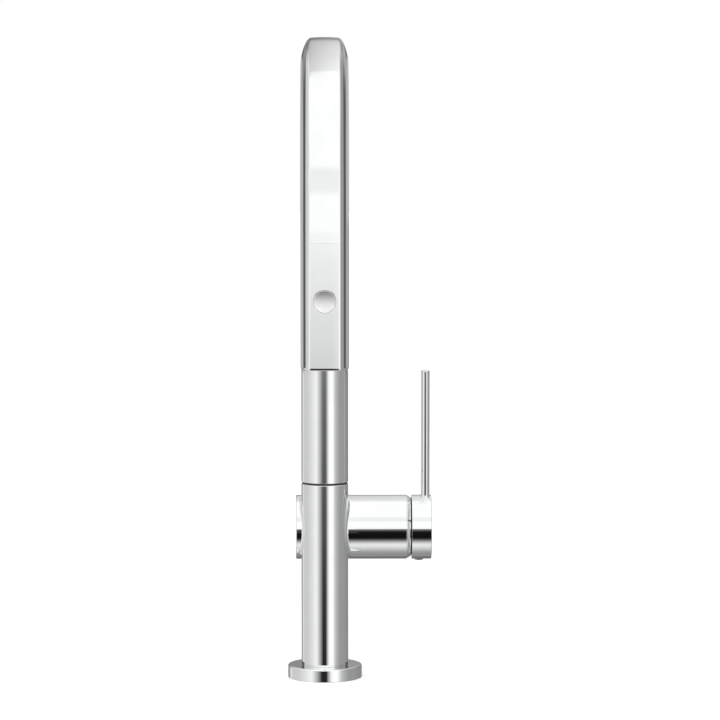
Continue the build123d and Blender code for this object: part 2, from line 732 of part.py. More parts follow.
with BuildPart() as core_seal:
    with BuildSketch(Plane.XY.offset(plate_bottom_z + spray_plate_t + 1.05)):
        with Locations((0, reach_y)):
            Circle(core_r - 0.6)
            Circle(aerator_d / 2 + 2.4, mode=Mode.SUBTRACT)
    extrude(amount=core_bottom_z - plate_bottom_z - spray_plate_t - 1.1)
finish(core_seal, "core_seal")

# Cartridge: base with its seals, fixed and moving ceramic discs, shell and clamping nut
with BuildPart() as cartridge_base:
    with BuildSketch(housing_plane.offset(seat_x + 0.1)):
        Circle(cartridge_d / 2 - 0.1)
        with PolarLocations(seat_port_r, 3, start_angle=90):
            Circle(base_port_d / 2, mode=Mode.SUBTRACT)
    extrude(amount=base_t)
    with BuildSketch(housing_plane.offset(seat_x + 0.1)):
        with PolarLocations(seat_port_r, 3, start_angle=90):
            Circle(seal_bore_d / 2 + seal_w + 0.2)
    extrude(amount=seal_t - 0.05, mode=Mode.SUBTRACT)
finish(cartridge_base, "cartridge_base")

with BuildPart() as inlet_seals:
    with BuildSketch(housing_plane.offset(seat_x)):
        with PolarLocations(seat_port_r, 3, start_angle=90):
            Circle(seal_bore_d / 2 + seal_w)
            Circle(seal_bore_d / 2, mode=Mode.SUBTRACT)
    extrude(amount=seal_t)
finish(inlet_seals, "inlet_seals")

disc_x = seat_x + base_t + 0.15
with BuildPart() as fixed_disc:
    with BuildSketch(housing_plane.offset(disc_x)):
        Circle(shell_bore_d / 2 - 0.5)
        with PolarLocations(seat_port_r, 3, start_angle=90):
            Circle(disc_port_d / 2, mode=Mode.SUBTRACT)
    extrude(amount=fixed_disc_t)
finish(fixed_disc, "fixed_disc")

moving_x = disc_x + fixed_disc_t + 0.05
disc_rest = -ball_arm * sin(radians(tilt_range)) / 2
with BuildPart() as moving_disc:
    with BuildSketch(housing_plane.offset(moving_x)):
        with Locations((0, disc_rest)):
            Circle(moving_disc_d / 2)
            SlotOverall(mixing_slot_l, mixing_slot_w, mode=Mode.SUBTRACT)
    extrude(amount=moving_disc_t)
finish(moving_disc, "moving_disc")

carrier_x = moving_x + moving_disc_t + 0.05
with BuildPart() as disc_carrier:
    with BuildSketch(housing_plane.offset(carrier_x)):
        with Locations((0, disc_rest)):
            Circle(moving_disc_d / 2 + 1.0)
    extrude(amount=carrier_t)
    with BuildSketch(housing_plane.offset(carrier_x + carrier_t)):
        with Locations((0, disc_rest)):
            Rectangle(slide_w, slide_l)
    extrude(amount=slide_h)
    with BuildSketch(housing_plane.offset(carrier_x + 0.6)):
        Circle(ball_r + ball_play)
    extrude(amount=carrier_t + slide_h, mode=Mode.SUBTRACT)
    with Locations(housing_plane.offset(carrier_x + carrier_t + slide_h) * Location((0, 0, -1.6))):
        Cone(ball_r + ball_play, ball_r + ball_play + 2.0, 3.2, mode=Mode.SUBTRACT)
finish(disc_carrier, "disc_carrier")

with BuildPart() as cartridge_shell:
    with BuildSketch(housing_plane.offset(disc_x)):
        Circle(cartridge_d / 2)
    extrude(amount=cartridge_shoulder_x - disc_x - 0.05)
    with BuildSketch(housing_plane.offset(cartridge_shoulder_x - 0.1)):
        Circle(cartridge_neck_d / 2)
    extrude(amount=cartridge_neck_x - cartridge_shoulder_x + 0.1)
    chamfer(cartridge_shell.faces().sort_by(Axis.X)[-1].edges(), 0.5)
    with BuildSketch(housing_plane.offset(disc_x - 1)):
        Circle(shell_bore_d / 2)
    extrude(amount=cartridge_shoulder_x - shell_roof_t - disc_x + 1, mode=Mode.SUBTRACT)
    with BuildSketch(housing_plane.offset(disc_x)):
        Circle(rotor_neck_d / 2 + 0.1)
    extrude(amount=cartridge_neck_x - disc_x, mode=Mode.SUBTRACT)
finish(cartridge_shell, "cartridge_shell")

with BuildPart() as cartridge_nut:
    with BuildSketch(housing_plane.offset(cartridge_shoulder_x)):
        Circle(nut_d / 2)
        Circle(cartridge_neck_d / 2 + nut_play, mode=Mode.SUBTRACT)
    extrude(amount=nut_end_x - cartridge_shoulder_x)
    with BuildSketch(housing_plane.offset(nut_end_x - nut_slot_depth)):
        with PolarLocations(nut_d / 2 - nut_slot_l / 2, 6):
            Rectangle(nut_slot_l, nut_slot_w)
    extrude(amount=nut_slot_depth, mode=Mode.SUBTRACT)
finish(cartridge_nut, "cartridge_nut")

# Rotor that turns in the cartridge: flange, slotted neck and cross hole for the tilt pin
rotor_x = carrier_x + carrier_t + 0.1
rotor_end_x = cartridge_neck_x + 0.2
with BuildPart() as cartridge_rotor:
    with BuildSketch(housing_plane.offset(rotor_x)):
        Circle(shell_bore_d / 2 - 0.3)
    extrude(amount=cartridge_shoulder_x - shell_roof_t - 0.1 - rotor_x)
    with BuildSketch(housing_plane.offset(rotor_x)):
        Circle(rotor_neck_d / 2)
    extrude(amount=rotor_end_x - rotor_x)
    with BuildSketch(housing_plane.offset(rotor_x)):
        Rectangle(slide_w + 0.3, shell_bore_d)
    extrude(amount=slide_h + 0.1, mode=Mode.SUBTRACT)
    with BuildSketch(housing_plane.offset(rotor_x)):
        Rectangle(stem_size + 0.2, rotor_slot_l)
    extrude(amount=rotor_end_x - rotor_x, mode=Mode.SUBTRACT)
    tilt_plane = Plane(origin=(tilt_x, housing_y, housing_z), x_dir=(1, 0, 0), z_dir=(0, 1, 0))
    with BuildSketch(tilt_plane):
        Circle(tilt_pin_d / 2 + 0.02)
    extrude(amount=shell_bore_d, both=True, mode=Mode.SUBTRACT)
finish(cartridge_rotor, "cartridge_rotor")

with BuildPart() as tilt_pin:
    with BuildSketch(tilt_plane):
        Circle(tilt_pin_d / 2)
    extrude(amount=rotor_neck_d / 2 - 1.25, both=True)
finish(tilt_pin, "tilt_pin")

# Lever stem: ball arm, eye on the tilt pin and square end for the hub
with BuildPart() as lever_stem:
    with BuildSketch(tilt_plane):
        Circle(stem_eye_d / 2)
    extrude(amount=stem_size / 2, both=True)
    with BuildSketch(housing_plane.offset(tilt_x)):
        Rectangle(stem_size, stem_size)
    extrude(amount=pin_x - tilt_x - 0.4)
    with BuildSketch(axis_plane):
        with Locations((-ball_arm, 0)):
            Circle(ball_r)
        with Locations((-ball_arm, 0)):
            Rectangle(ball_arm, arm_r, align=(Align.MIN, Align.MIN))
        with Locations((-ball_arm, 0)):
            Rectangle(4 * ball_r, 2 * ball_r, align=(Align.CENTER, Align.MAX), mode=Mode.SUBTRACT)
    revolve(axis=housing_axis)
    with BuildSketch(tilt_plane):
        Circle(tilt_pin_d / 2 + 0.06)
    extrude(amount=stem_size, both=True, mode=Mode.SUBTRACT)
finish(lever_stem, "lever_stem")

# Domed sleeve in the gap between housing and hub, a zone of a sphere about the tilt pin
skirt_r = nut_d / 2 - 0.1
skirt_bore_r = skirt_r - 1.2
opening = radians(dome_open_angle)
dome_foot_x = housing_right_x + 0.05 - tilt_x
dome_foot_r = sqrt(dome_r ** 2 - dome_foot_x ** 2)
dome_inner_r = dome_r - dome_wall


def on_sphere(radius, angle):
    """Point of a circle about the tilt pin, its angle counted from the housing's axis."""
    return (radius * cos(angle), radius * sin(angle))


with BuildPart() as dome_ring:
    with BuildSketch(axis_plane):
        with BuildLine():
            foot_angle = asin(dome_foot_r / dome_r)
            bore_angle = asin(skirt_bore_r / dome_inner_r)
            mid_out = on_sphere(dome_r, (foot_angle + opening) / 2)
            mid_in = on_sphere(dome_inner_r, (bore_angle + opening) / 2)
            outer_arc = ThreePointArc((dome_foot_x, dome_foot_r), mid_out, on_sphere(dome_r, opening))
            Line(outer_arc @ 1, on_sphere(dome_inner_r, opening))
            inner_arc = ThreePointArc(
                on_sphere(dome_inner_r, opening), mid_in, (dome_inner_r * cos(bore_angle), skirt_bore_r)
            )
            Polyline(
                inner_arc @ 1,
                (nut_end_x + 0.05 - tilt_x, skirt_bore_r),
                (nut_end_x + 0.05 - tilt_x, skirt_r),
                (dome_foot_x, skirt_r),
                (dome_foot_x, dome_foot_r),
            )
        make_face()
    revolve(axis=housing_axis)
finish(dome_ring, "dome_ring")

# Index mark for the temperature, a thin inlay on the dome
mark_out = radians(mark_angle)
with BuildPart() as temperature_mark:
    with Locations((tilt_x, housing_y, housing_z)):
        Sphere(dome_r + mark_t + 0.02)
        Sphere(dome_r + 0.02, mode=Mode.SUBTRACT)
    mark_plane = Plane(origin=(0, housing_y, housing_z), x_dir=(1, 0, 0), z_dir=(0, -cos(mark_out), sin(mark_out)))
    with BuildSketch(mark_plane):
        with Locations((housing_right_x + hub_gap / 2, 0)):
            Rectangle(hub_gap - 0.6, mark_w)
    extrude(amount=housing_d, mode=Mode.INTERSECT)
finish(temperature_mark, "temperature_mark")

# Lever hub: turned cap hollowed by a sphere about the tilt pin, with a boss for the stem
with BuildPart() as lever_hub:
    with BuildSketch(axis_plane) as hub_profile:
        with Locations((hub_left_x - tilt_x, 0)):
            Rectangle(hub_length, housing_r, align=(Align.MIN, Align.MIN))
        fillet(hub_profile.vertices().group_by(Axis.X)[-1].sort_by(Axis.Y)[-1], hub_edge_r)
        Circle(hub_bowl_r, mode=Mode.SUBTRACT)
        with Locations((hub_boss_x - tilt_x, 0)):
            Rectangle(hub_right_x - hub_boss_x - 1, hub_boss_d / 2, align=(Align.MIN, Align.MIN))
    revolve(axis=housing_axis)
    with BuildSketch(housing_plane.offset(tilt_x)):
        Rectangle(stem_size + 0.1, stem_size + 0.1)
    extrude(amount=pin_x - tilt_x - 0.3, mode=Mode.SUBTRACT)
    pin_plane = Plane(origin=(pin_x, housing_y, housing_z + pin_foot), x_dir=(1, 0, 0), z_dir=(0, 0, 1))
    with BuildSketch(pin_plane):
        Circle(pin_d / 2 + 0.02)
    extrude(amount=40, mode=Mode.SUBTRACT)
    screw_plane = Plane(origin=(plug_x, housing_y, housing_z), x_dir=(1, 0, 0), z_dir=(0, 0, -1))
    with BuildSketch(screw_plane.offset(stem_size / 2)):
        Circle(hub_screw_d / 2)
    extrude(amount=housing_r, mode=Mode.SUBTRACT)
    with BuildSketch(screw_plane.offset(housing_r - plug_depth)):
        Circle(plug_d / 2 + 0.02)
    extrude(amount=housing_r, mode=Mode.SUBTRACT)
finish(lever_hub, "lever_hub")

with BuildPart() as lever_pin:
    with BuildSketch(pin_plane):
        Circle(pin_d / 2)
    extrude(amount=pin_top_z - housing_z - pin_foot)
    fillet(lever_pin.edges().group_by(Axis.Z)[-1], 0.7)
    chamfer(lever_pin.edges().group_by(Axis.Z)[0], 0.5)
finish(lever_pin, "lever_pin")

with BuildPart() as hub_screw:
    with BuildSketch(screw_plane.offset(stem_size / 2 + 0.1)):
        Circle(hub_screw_d / 2 - 0.05)
    extrude(amount=hub_boss_d / 2 - stem_size / 2 - 0.2)
    with BuildSketch(screw_plane.offset(stem_size / 2 + 1.2)):
        RegularPolygon(hub_screw_d / 4, 6, major_radius=False)
    extrude(amount=hub_boss_d, mode=Mode.SUBTRACT)
finish(hub_screw, "hub_screw")

with BuildPart() as hub_plug:
    with BuildSketch(screw_plane.offset(housing_r - plug_depth + 0.05)):
        Circle(plug_d / 2)
    extrude(amount=plug_depth + plug_proud)
    fillet(hub_plug.edges().group_by(Axis.Z)[0], 0.3)
finish(hub_plug, "hub_plug")
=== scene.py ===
# %% [markdown]
# A kitchen mixer is almost nothing but polished metal, so its looks are reflections. This lesson
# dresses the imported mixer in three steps: a camera where the photograph was taken, a studio that
# gives the chrome something to reflect, and smooth skins over the working model's own pieces.

# %% Load the frame
import json
import math

import bmesh
import bpy
import numpy as np
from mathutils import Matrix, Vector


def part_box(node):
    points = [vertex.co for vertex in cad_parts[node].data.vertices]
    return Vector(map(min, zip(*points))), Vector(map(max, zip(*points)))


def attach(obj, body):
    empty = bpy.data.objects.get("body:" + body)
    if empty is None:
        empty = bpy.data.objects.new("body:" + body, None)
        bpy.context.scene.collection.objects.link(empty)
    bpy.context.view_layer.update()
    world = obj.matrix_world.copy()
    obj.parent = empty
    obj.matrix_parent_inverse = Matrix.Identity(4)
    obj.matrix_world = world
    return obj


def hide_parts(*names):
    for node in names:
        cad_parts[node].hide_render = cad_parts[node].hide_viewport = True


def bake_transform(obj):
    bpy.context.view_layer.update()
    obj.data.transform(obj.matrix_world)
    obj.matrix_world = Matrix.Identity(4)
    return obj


MM = 0.001
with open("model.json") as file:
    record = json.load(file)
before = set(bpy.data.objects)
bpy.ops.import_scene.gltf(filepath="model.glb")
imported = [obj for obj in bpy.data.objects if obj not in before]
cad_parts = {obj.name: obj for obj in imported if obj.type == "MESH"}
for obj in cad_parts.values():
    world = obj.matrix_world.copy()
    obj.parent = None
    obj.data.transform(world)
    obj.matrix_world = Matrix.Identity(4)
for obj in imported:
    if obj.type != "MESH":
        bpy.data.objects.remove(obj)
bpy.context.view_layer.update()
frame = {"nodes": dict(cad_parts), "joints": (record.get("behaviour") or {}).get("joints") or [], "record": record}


def new_object(name, data):
    """Puts camera or mesh data into the scene as an object."""
    made = bpy.data.objects.new(name, data)
    bpy.context.scene.collection.objects.link(made)
    return made


# %% [markdown]
# The sizes below are read back from the frame where it gives them, so a skin always sits where
# the working piece does. The mixer's column is the Z axis, the spout reaches towards -Y.

# %% Measures taken from the frame
COLUMN_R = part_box("spout_tube")[1].x
COLUMN_FOOT_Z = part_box("base_flange")[1].z
RING_LOW, RING_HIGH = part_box("turning_ring")
RING_Z = RING_LOW.z
RISER_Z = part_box("spout_tube")[0].z
HANDSET_LOW, HANDSET_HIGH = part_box("handset_shell")
REACH_Y = -0.229
ARCH_R = -REACH_Y / 2
SEAM = 0.3 * MM
ARCH_Z = HANDSET_HIGH.z + SEAM
print("column radius", round(COLUMN_R, 4), "riser from", round(RISER_Z, 4))
print("arch centre at", round(ARCH_Z, 4))

# %% [markdown]
# The photograph is a long-lens product shot. The foot's ellipse is a little rounder than the
# joint's, which puts the lens about 2.3 m away and a hand above the middle of the mixer. The
# picture is square and its middle lies beside the column, so the camera is turned, not shifted.

# %% Camera
CAMERA_DISTANCE = 2.31
CAMERA_HEIGHT = 0.411
AIM_X = 0.0247
AIM_Z = 0.2238
METRES_PER_PIXEL = 0.0007
PICTURE = 720
SENSOR_MM = 36.0
line_of_sight = math.hypot(CAMERA_DISTANCE, CAMERA_HEIGHT - AIM_Z)
camera_data = bpy.data.cameras.new("camera")
camera_data.sensor_width = SENSOR_MM
camera_data.lens = SENSOR_MM * line_of_sight / (METRES_PER_PIXEL * PICTURE)
camera = new_object("camera", camera_data)
camera.location = (0, -CAMERA_DISTANCE, CAMERA_HEIGHT)
camera.rotation_euler = (
    math.pi / 2 - math.atan2(CAMERA_HEIGHT - AIM_Z, CAMERA_DISTANCE),
    0,
    -math.atan2(AIM_X, CAMERA_DISTANCE),
)
bpy.context.scene.camera = camera
bpy.context.scene.view_settings.view_transform = "Standard"
print("lens", round(camera_data.lens, 1), "mm")

# %% [markdown]
# Shader nodes are easier to read as sums. One class wraps a socket, and arithmetic on it adds
# Math nodes. Every other node comes from one method of the tree.

# %% Node maths


def operator(operation):
    """A method of two numbers that adds their Math node."""
    return lambda self, other: self.maths(operation, other)


class Value:
    """A number that nodes work out. Arithmetic on it adds Math nodes to the same tree."""

    def __init__(self, tree, socket):
        self.tree = tree
        self.socket = socket

    def maths(self, operation, *others):
        """A Math node on this number and the others."""
        inputs = dict(enumerate((self, *others)))
        return self.tree.node("ShaderNodeMath", inputs, operation=operation)

    def __rsub__(self, other):
        return self.tree.node("ShaderNodeMath", {0: other, 1: self}, operation="SUBTRACT")

    __add__ = __radd__ = operator("ADD")
    __mul__ = __rmul__ = operator("MULTIPLY")
    __sub__ = operator("SUBTRACT")
    __truediv__ = operator("DIVIDE")
    __pow__ = operator("POWER")

    def ramp(self, low, high, start=0.0, end=1.0):
        """Goes smoothly from start to end while the number goes from low to high."""
        inputs = {"Value": self, 1: low, 2: high, 3: start, 4: end}
        return self.tree.node("ShaderNodeMapRange", inputs, interpolation_type="SMOOTHSTEP")

    def band(self, low, high, soft):
        """1 between low and high, 0 outside, with soft edges."""
        return self.ramp(low - soft, low + soft) * self.ramp(high - soft, high + soft, 1.0, 0.0)

    def through(self, points):
        """A broken line through (input, output) points, level beyond its ends."""
        total = points[0][1]
        for (low, start), (high, end) in zip(points, points[1:]):
            inputs = {"Value": self, 1: low, 2: high, 3: 0.0, 4: end - start}
            total = total + self.tree.node("ShaderNodeMapRange", inputs, interpolation_type="LINEAR")
        return total


class Tree:
    """A node tree that is built by expressions."""

    def __init__(self, owner):
        owner.use_nodes = True
        self.tree = owner.node_tree
        self.tree.nodes.clear()

    def node(self, kind, inputs=None, output=0, **settings):
        """Adds a node, sets it up, fills its inputs and gives one of its outputs."""
        made = self.tree.nodes.new(kind)
        for key, setting in settings.items():
            setattr(made, key, setting)
        for key, given in (inputs or {}).items():
            if isinstance(given, Value):
                self.tree.links.new(given.socket, made.inputs[key])
            else:
                made.inputs[key].default_value = given
        return Value(self, made.outputs[output]) if len(made.outputs) else None

    def place(self):
        """The three object coordinates, in metres, as numbers."""
        return self.split(self.node("ShaderNodeTexCoord", output="Object"))

    def split(self, vector):
        """The three coordinates of a vector."""
        return [self.node("ShaderNodeSeparateXYZ", {0: vector}, axis) for axis in range(3)]

    def noise(self, scale, detail=2.0):
        """Soft noise between 0 and 1, scale times finer than a metre."""
        coordinates = self.node("ShaderNodeTexCoord", output="Object")
        inputs = {"Vector": coordinates, "Scale": scale, "Detail": detail}
        return self.node("ShaderNodeTexNoise", inputs)

    def mix(self, share, first, second):
        """A colour between two colours."""
        inputs = {0: share, 6: first, 7: second}
        return self.node("ShaderNodeMix", inputs, 2, data_type="RGBA")


print("node maths ready")

# %% [markdown]
# Chrome shows its surroundings, so the studio is the real paint. An upright tube reads it off
# like a dial: each of its columns of pixels shows one direction, twice as far round as the
# surface has turned. The level housing does the same for up and down. Read like that, the
# photograph says: a dark sheet on the floor in front that fades with distance, a pale wall to
# the left, a grey one to the right, a narrow dark flag behind on each side and a white ceiling.
# Camera rays see plain white. Only glossy rays see the painted tones. Each list holds angles in
# degrees, or distances in metres, with the brightness there.

# %% Studio tones
CEILING_TONE = 1.11
WALLS = (
    (-180, 0.38), (-160, 0.36), (-148, 0.34), (-141, 0.5), (-135, 0.84), (-129, 0.8),
    (-124, 0.66), (-108, 0.65), (-92, 0.67), (-79, 0.74), (-66, 0.81), (-55, 0.90), (-46, 0.97),
    (-38, 1.0), (20, 1.05), (30, 1.12), (40, 1.1), (47, 0.79), (53, 0.60), (59, 0.51),
    (70, 0.41), (81, 0.34), (104, 0.34), (134, 0.29), (160, 0.27), (180, 0.38),
)
SHEET = ((-42, 0.0), (-10, 1.0), (5, 1.0), (21, 0.0))
SHEET_TONES = (
    (0.08, 0.02), (0.17, 0.028), (0.37, 0.04), (0.65, 0.064), (0.83, 0.082), (1.14, 0.10),
    (1.65, 0.14), (2.1, 0.163), (2.57, 0.20), (2.95, 0.72), (3.8, 0.795), (5.0, 0.87),
    (6.0, 0.92), (7.0, 1.0),
)
FLAG = (117, 144)
FLAG_SOFT = 4.0
FLAG_TONE = 0.1
BEYOND_TONE = 0.5


def wall_tone(azimuth, far):
    """Brightness round the room, from the angle in degrees: 0 is in front, 90 to the right.
    Where far is 1, a flag and the paler cloth beyond it hang before the wall on both sides."""
    from_front = azimuth.maths("ABSOLUTE")
    flags = from_front.band(*FLAG, FLAG_SOFT) * far
    beyond = from_front.ramp(FLAG[1] - FLAG_SOFT, FLAG[1] + FLAG_SOFT) * far
    bare = azimuth.through(WALLS) * (1 - flags - beyond)
    return bare + flags * FLAG_TONE + beyond * BEYOND_TONE


def degrees_round(x, y):
    """Angle from the -Y direction towards +X, in degrees."""
    return x.maths("ARCTAN2", 0 - y) * math.degrees(1.0)


def seen_by(tree, kinds):
    """1 for rays of the given kinds, from the light path."""
    parts = [tree.node("ShaderNodeLightPath", output=kind) for kind in kinds]
    total = parts[0]
    for part in parts[1:]:
        total = total.maths("MAXIMUM", part)
    return total


print("studio of", len(WALLS), "wall tones and", len(SHEET_TONES), "sheet tones")

# %% [markdown]
# The room is the world itself, so it works at any distance. Its walls lean in like a tent: a
# ray's angle round the room is twice the turn of a surface that would mirror it to the front,
# and this turn stays the same all the way up the arch. So a stripe beside the handset's face
# runs on over the arch without a bend. Straight above and behind, the tone goes by pitch alone,
# from 0 in front through 90 overhead to 180 behind, and falls off a little to the left.

# %% The room round the mixer
SKY = (
    (24, 1.11), (28, 0.97), (39, 0.97), (43, 1.11), (104, 1.11), (110, 1.05), (113, 0.84),
    (130, 0.74), (142, 0.68), (153, 0.62), (158, 0.5), (163, 0.28), (168, 0.26), (174, 0.36),
    (180, 0.42),
)
CEILING_FROM, CEILING_FULL = 30.0, 75.0
CENTRAL_X = (0.25, 0.5)
CENTRAL_HEIGHT = (1.0, 6.0)
FALL_PITCH = (104.0, 114.0)
FALL_LEFT, FALL_RIGHT = -0.12, 0.1
FALL_SLOPE = 1.9
FALL_LIFT = 0.03
FILL = 0.95
WHITE = (1, 1, 1, 1)
NEVER_ZERO = 0.0001
world = bpy.data.worlds.new("room")
bpy.context.scene.world = world
room = Tree(world)
direction = room.node("ShaderNodeTexCoord", output="Generated")
dir_x, dir_y, dir_z = room.split(direction)
height = dir_z.maths("ARCSINE") * math.degrees(1.0)
overhead = height.ramp(CEILING_FROM, CEILING_FULL)
facing = dir_x / (2 - 2 * dir_y).maths("MAXIMUM", NEVER_ZERO).maths("SQRT")
leaning = facing.maths("ARCSINE") * math.degrees(2.0)
around = wall_tone(leaning, 1 - overhead)
around = around * (1 - overhead) + overhead * CEILING_TONE
pitch = degrees_round(dir_z, dir_y)
sideways = dir_x.maths("ABSOLUTE").ramp(*CENTRAL_X)
central = (1 - sideways) * height.ramp(*CENTRAL_HEIGHT)
across = facing.maths("MAXIMUM", FALL_LEFT).maths("MINIMUM", FALL_RIGHT)
fall = pitch.ramp(*FALL_PITCH) * (FALL_LIFT + FALL_SLOPE * across)
tone = around * (1 - central) + central * pitch.through(SKY) * (1 + fall)
glossy = seen_by(room, ["Is Glossy Ray"])
plain = seen_by(room, ["Is Camera Ray", "Is Transmission Ray"])
strength = glossy * tone + (1 - glossy) * (plain + (1 - plain) * FILL)
background = room.node("ShaderNodeBackground", {"Color": WHITE, "Strength": strength})
room.node("ShaderNodeOutputWorld", {"Surface": background})
print("room", len(world.node_tree.nodes), "nodes")

# %% [markdown]
# The floor is a stage. The camera sees it as white paper. To glossy rays it glows with painted
# tones: rays that skim it see the walls' tones and the dark sheet. Glossy rays that come down
# steeply are the housing's and the hub's, and they read the floor by their pitch alone: black just
# in front, bright below, and dim behind, where a painted shadow of the mixer lies.
# So do rays that come from beside the column, which are also the housing's. A ray's line is
# followed back to the mixer's own plane, y = 0, to see where it started. The flags show only
# to rays that land far away, which are the handset's, and not to the column's.

# %% The floor
FLOOR_HALF = 9.0
# Tones of the floor's glow by a ray's pitch. From about 90 degrees on, behind the mixer, they fall as a painted
# shadow of the mixer.
PITCH_TONES_AND_PAINTED_SHADOW = (
    (-1, 1.1), (0.3, 0.6), (2.5, 0.235), (6.1, 0.1), (9.7, 0.028), (13.3, 0.008), (31.9, 0.006),
    (35.7, 0.023), (39.5, 0.09), (43.4, 0.23), (47.4, 0.406), (51.4, 0.6), (55.5, 0.76),
    (59.7, 0.87), (64.1, 0.885), (68.5, 0.84), (73, 0.745), (82.6, 0.577), (93, 0.4),
    (105, 0.315), (111, 0.287), (118.6, 0.324), (126.9, 0.244), (136.8, 0.11), (150, 0.3),
)
FLAG_AWAY = (2.5, 2.62)
STEEP_X = (0.3, 0.6)
STEEP_Z = (0.2, 0.33)
BESIDE_X = (20.0 * MM, 25.0 * MM)
BESIDE_AZIMUTH = (-2.0, -1.0)
PAPER = (0.97, 0.97, 0.97, 1)
PAPER_LIFT = 0.3
floor_corners = [(x * FLOOR_HALF, y * FLOOR_HALF, 0) for x, y in ((-1, -1), (1, -1), (1, 1), (-1, 1))]
floor_mesh = bpy.data.meshes.new("floor")
floor_mesh.from_pydata(floor_corners, [], [(0, 1, 2, 3)])
floor = new_object("floor", floor_mesh)
floor_paint = bpy.data.materials.new("floor")
floor_mesh.materials.append(floor_paint)
ground = Tree(floor_paint)
floor_x, floor_y, _ = ground.place()
back_ray = ground.node("ShaderNodeNewGeometry", output="Incoming")
ray_x, ray_y, ray_z = ground.split(back_ray)
azimuth = degrees_round(0 - ray_x, 0 - ray_y)
away = (floor_x * floor_x + floor_y * floor_y) ** 0.5
sheet = azimuth.through(SHEET)
walls = wall_tone(azimuth, away.ramp(*FLAG_AWAY))
skimming = walls * (1 - sheet) + sheet * away.through(SHEET_TONES)
pitch = degrees_round(ray_z, 0 - ray_y)
sideways = ray_x.maths("ABSOLUTE").ramp(*STEEP_X)
start_x = floor_x - floor_y * ray_x / ray_y
beside = start_x.ramp(*BESIDE_X) * azimuth.ramp(*BESIDE_AZIMUTH)
steep = (1 - sideways) * beside.maths("MAXIMUM", ray_z.ramp(*STEEP_Z))
tone = skimming * (1 - steep) + steep * pitch.through(PITCH_TONES_AND_PAINTED_SHADOW)
glossy = seen_by(ground, ["Is Glossy Ray"])
camera_ray = seen_by(ground, ["Is Camera Ray"])
paper = ground.node("ShaderNodeBsdfDiffuse", {"Color": PAPER})
lift = ground.node("ShaderNodeEmission", {"Color": WHITE, "Strength": camera_ray * PAPER_LIFT})
lit = ground.node("ShaderNodeAddShader", {0: paper, 1: lift})
# The floor's glow for glossy rays is painted light: emission with the painted tones and the painted shadow behind
# the mixer.
painted = ground.node("ShaderNodeEmission", {"Color": WHITE, "Strength": tone})
shown = ground.node("ShaderNodeMixShader", {0: glossy, 1: lit, 2: painted})
ground.node("ShaderNodeOutputMaterial", {"Surface": shown})
print("floor", len(floor_paint.node_tree.nodes), "nodes")

# %% [markdown]
# A finish is a Principled shader with a little life in it. Chrome is a metal with almost no
# roughness. Its plating still has faint polishing haze, so a slow noise moves the roughness by
# a few hundredths and the colour by a shade. The button's cap is finely brushed, so it is more
# matt. The table says if it is metal, how fine the noise is, two roughnesses and two colours.

# %% Finishes
ROUGHNESS_NOISE = (0.3, 0.7)
COLOUR_NOISE = (0.35, 0.65)
SLOTS = {"satin_chrome": "chrome", "mark_plastic": "black_plastic"}
FINISHES = {
    "chrome": (1.0, 60.0, (0.02, 0.045), (0.90, 0.905, 0.91), (0.88, 0.885, 0.89)),
    "satin_chrome": (1.0, 300.0, (0.2, 0.24), (0.93, 0.93, 0.93), (0.91, 0.91, 0.91)),
    "brass": (1.0, 300.0, (0.18, 0.32), (0.72, 0.56, 0.30), (0.62, 0.47, 0.24)),
    "steel": (1.0, 300.0, (0.2, 0.34), (0.60, 0.60, 0.60), (0.52, 0.52, 0.53)),
    "black_plastic": (0.0, 500.0, (0.35, 0.5), (0.02, 0.02, 0.022), (0.03, 0.03, 0.032)),
    "mark_plastic": (0.0, 500.0, (0.35, 0.5), (0.115, 0.14, 0.145), (0.13, 0.155, 0.16)),
    "white_plastic": (0.0, 300.0, (0.3, 0.45), (0.80, 0.80, 0.77), (0.84, 0.84, 0.82)),
    "grey_plastic": (0.0, 600.0, (0.35, 0.5), (0.30, 0.31, 0.33), (0.35, 0.36, 0.38)),
    "rubber": (0.0, 500.0, (0.55, 0.75), (0.03, 0.03, 0.03), (0.05, 0.05, 0.05)),
    "ceramic": (0.0, 300.0, (0.08, 0.16), (0.90, 0.89, 0.86), (0.93, 0.92, 0.90)),
}
finishes = {}


def new_finish(name):
    """An empty material with its tree, kept under its name and material slot."""
    made = bpy.data.materials.new(name)
    finishes[name] = (made, SLOTS.get(name, name))
    return Tree(made)


def finish(tree, inputs):
    """Ends a material's tree in a Principled shader with the given inputs."""
    principled = tree.node("ShaderNodeBsdfPrincipled", inputs)
    tree.node("ShaderNodeOutputMaterial", {"Surface": principled})


for name, (metallic, scale, roughness, first, second) in FINISHES.items():
    tree = new_finish(name)
    wander = tree.noise(scale)
    inputs = {
        "Metallic": metallic,
        "Roughness": wander.ramp(*ROUGHNESS_NOISE, *roughness),
        "Base Color": tree.mix(wander.ramp(*COLOUR_NOISE), (*first, 1), (*second, 1)),
    }
    finish(tree, inputs)
print("finishes", sorted(finishes))
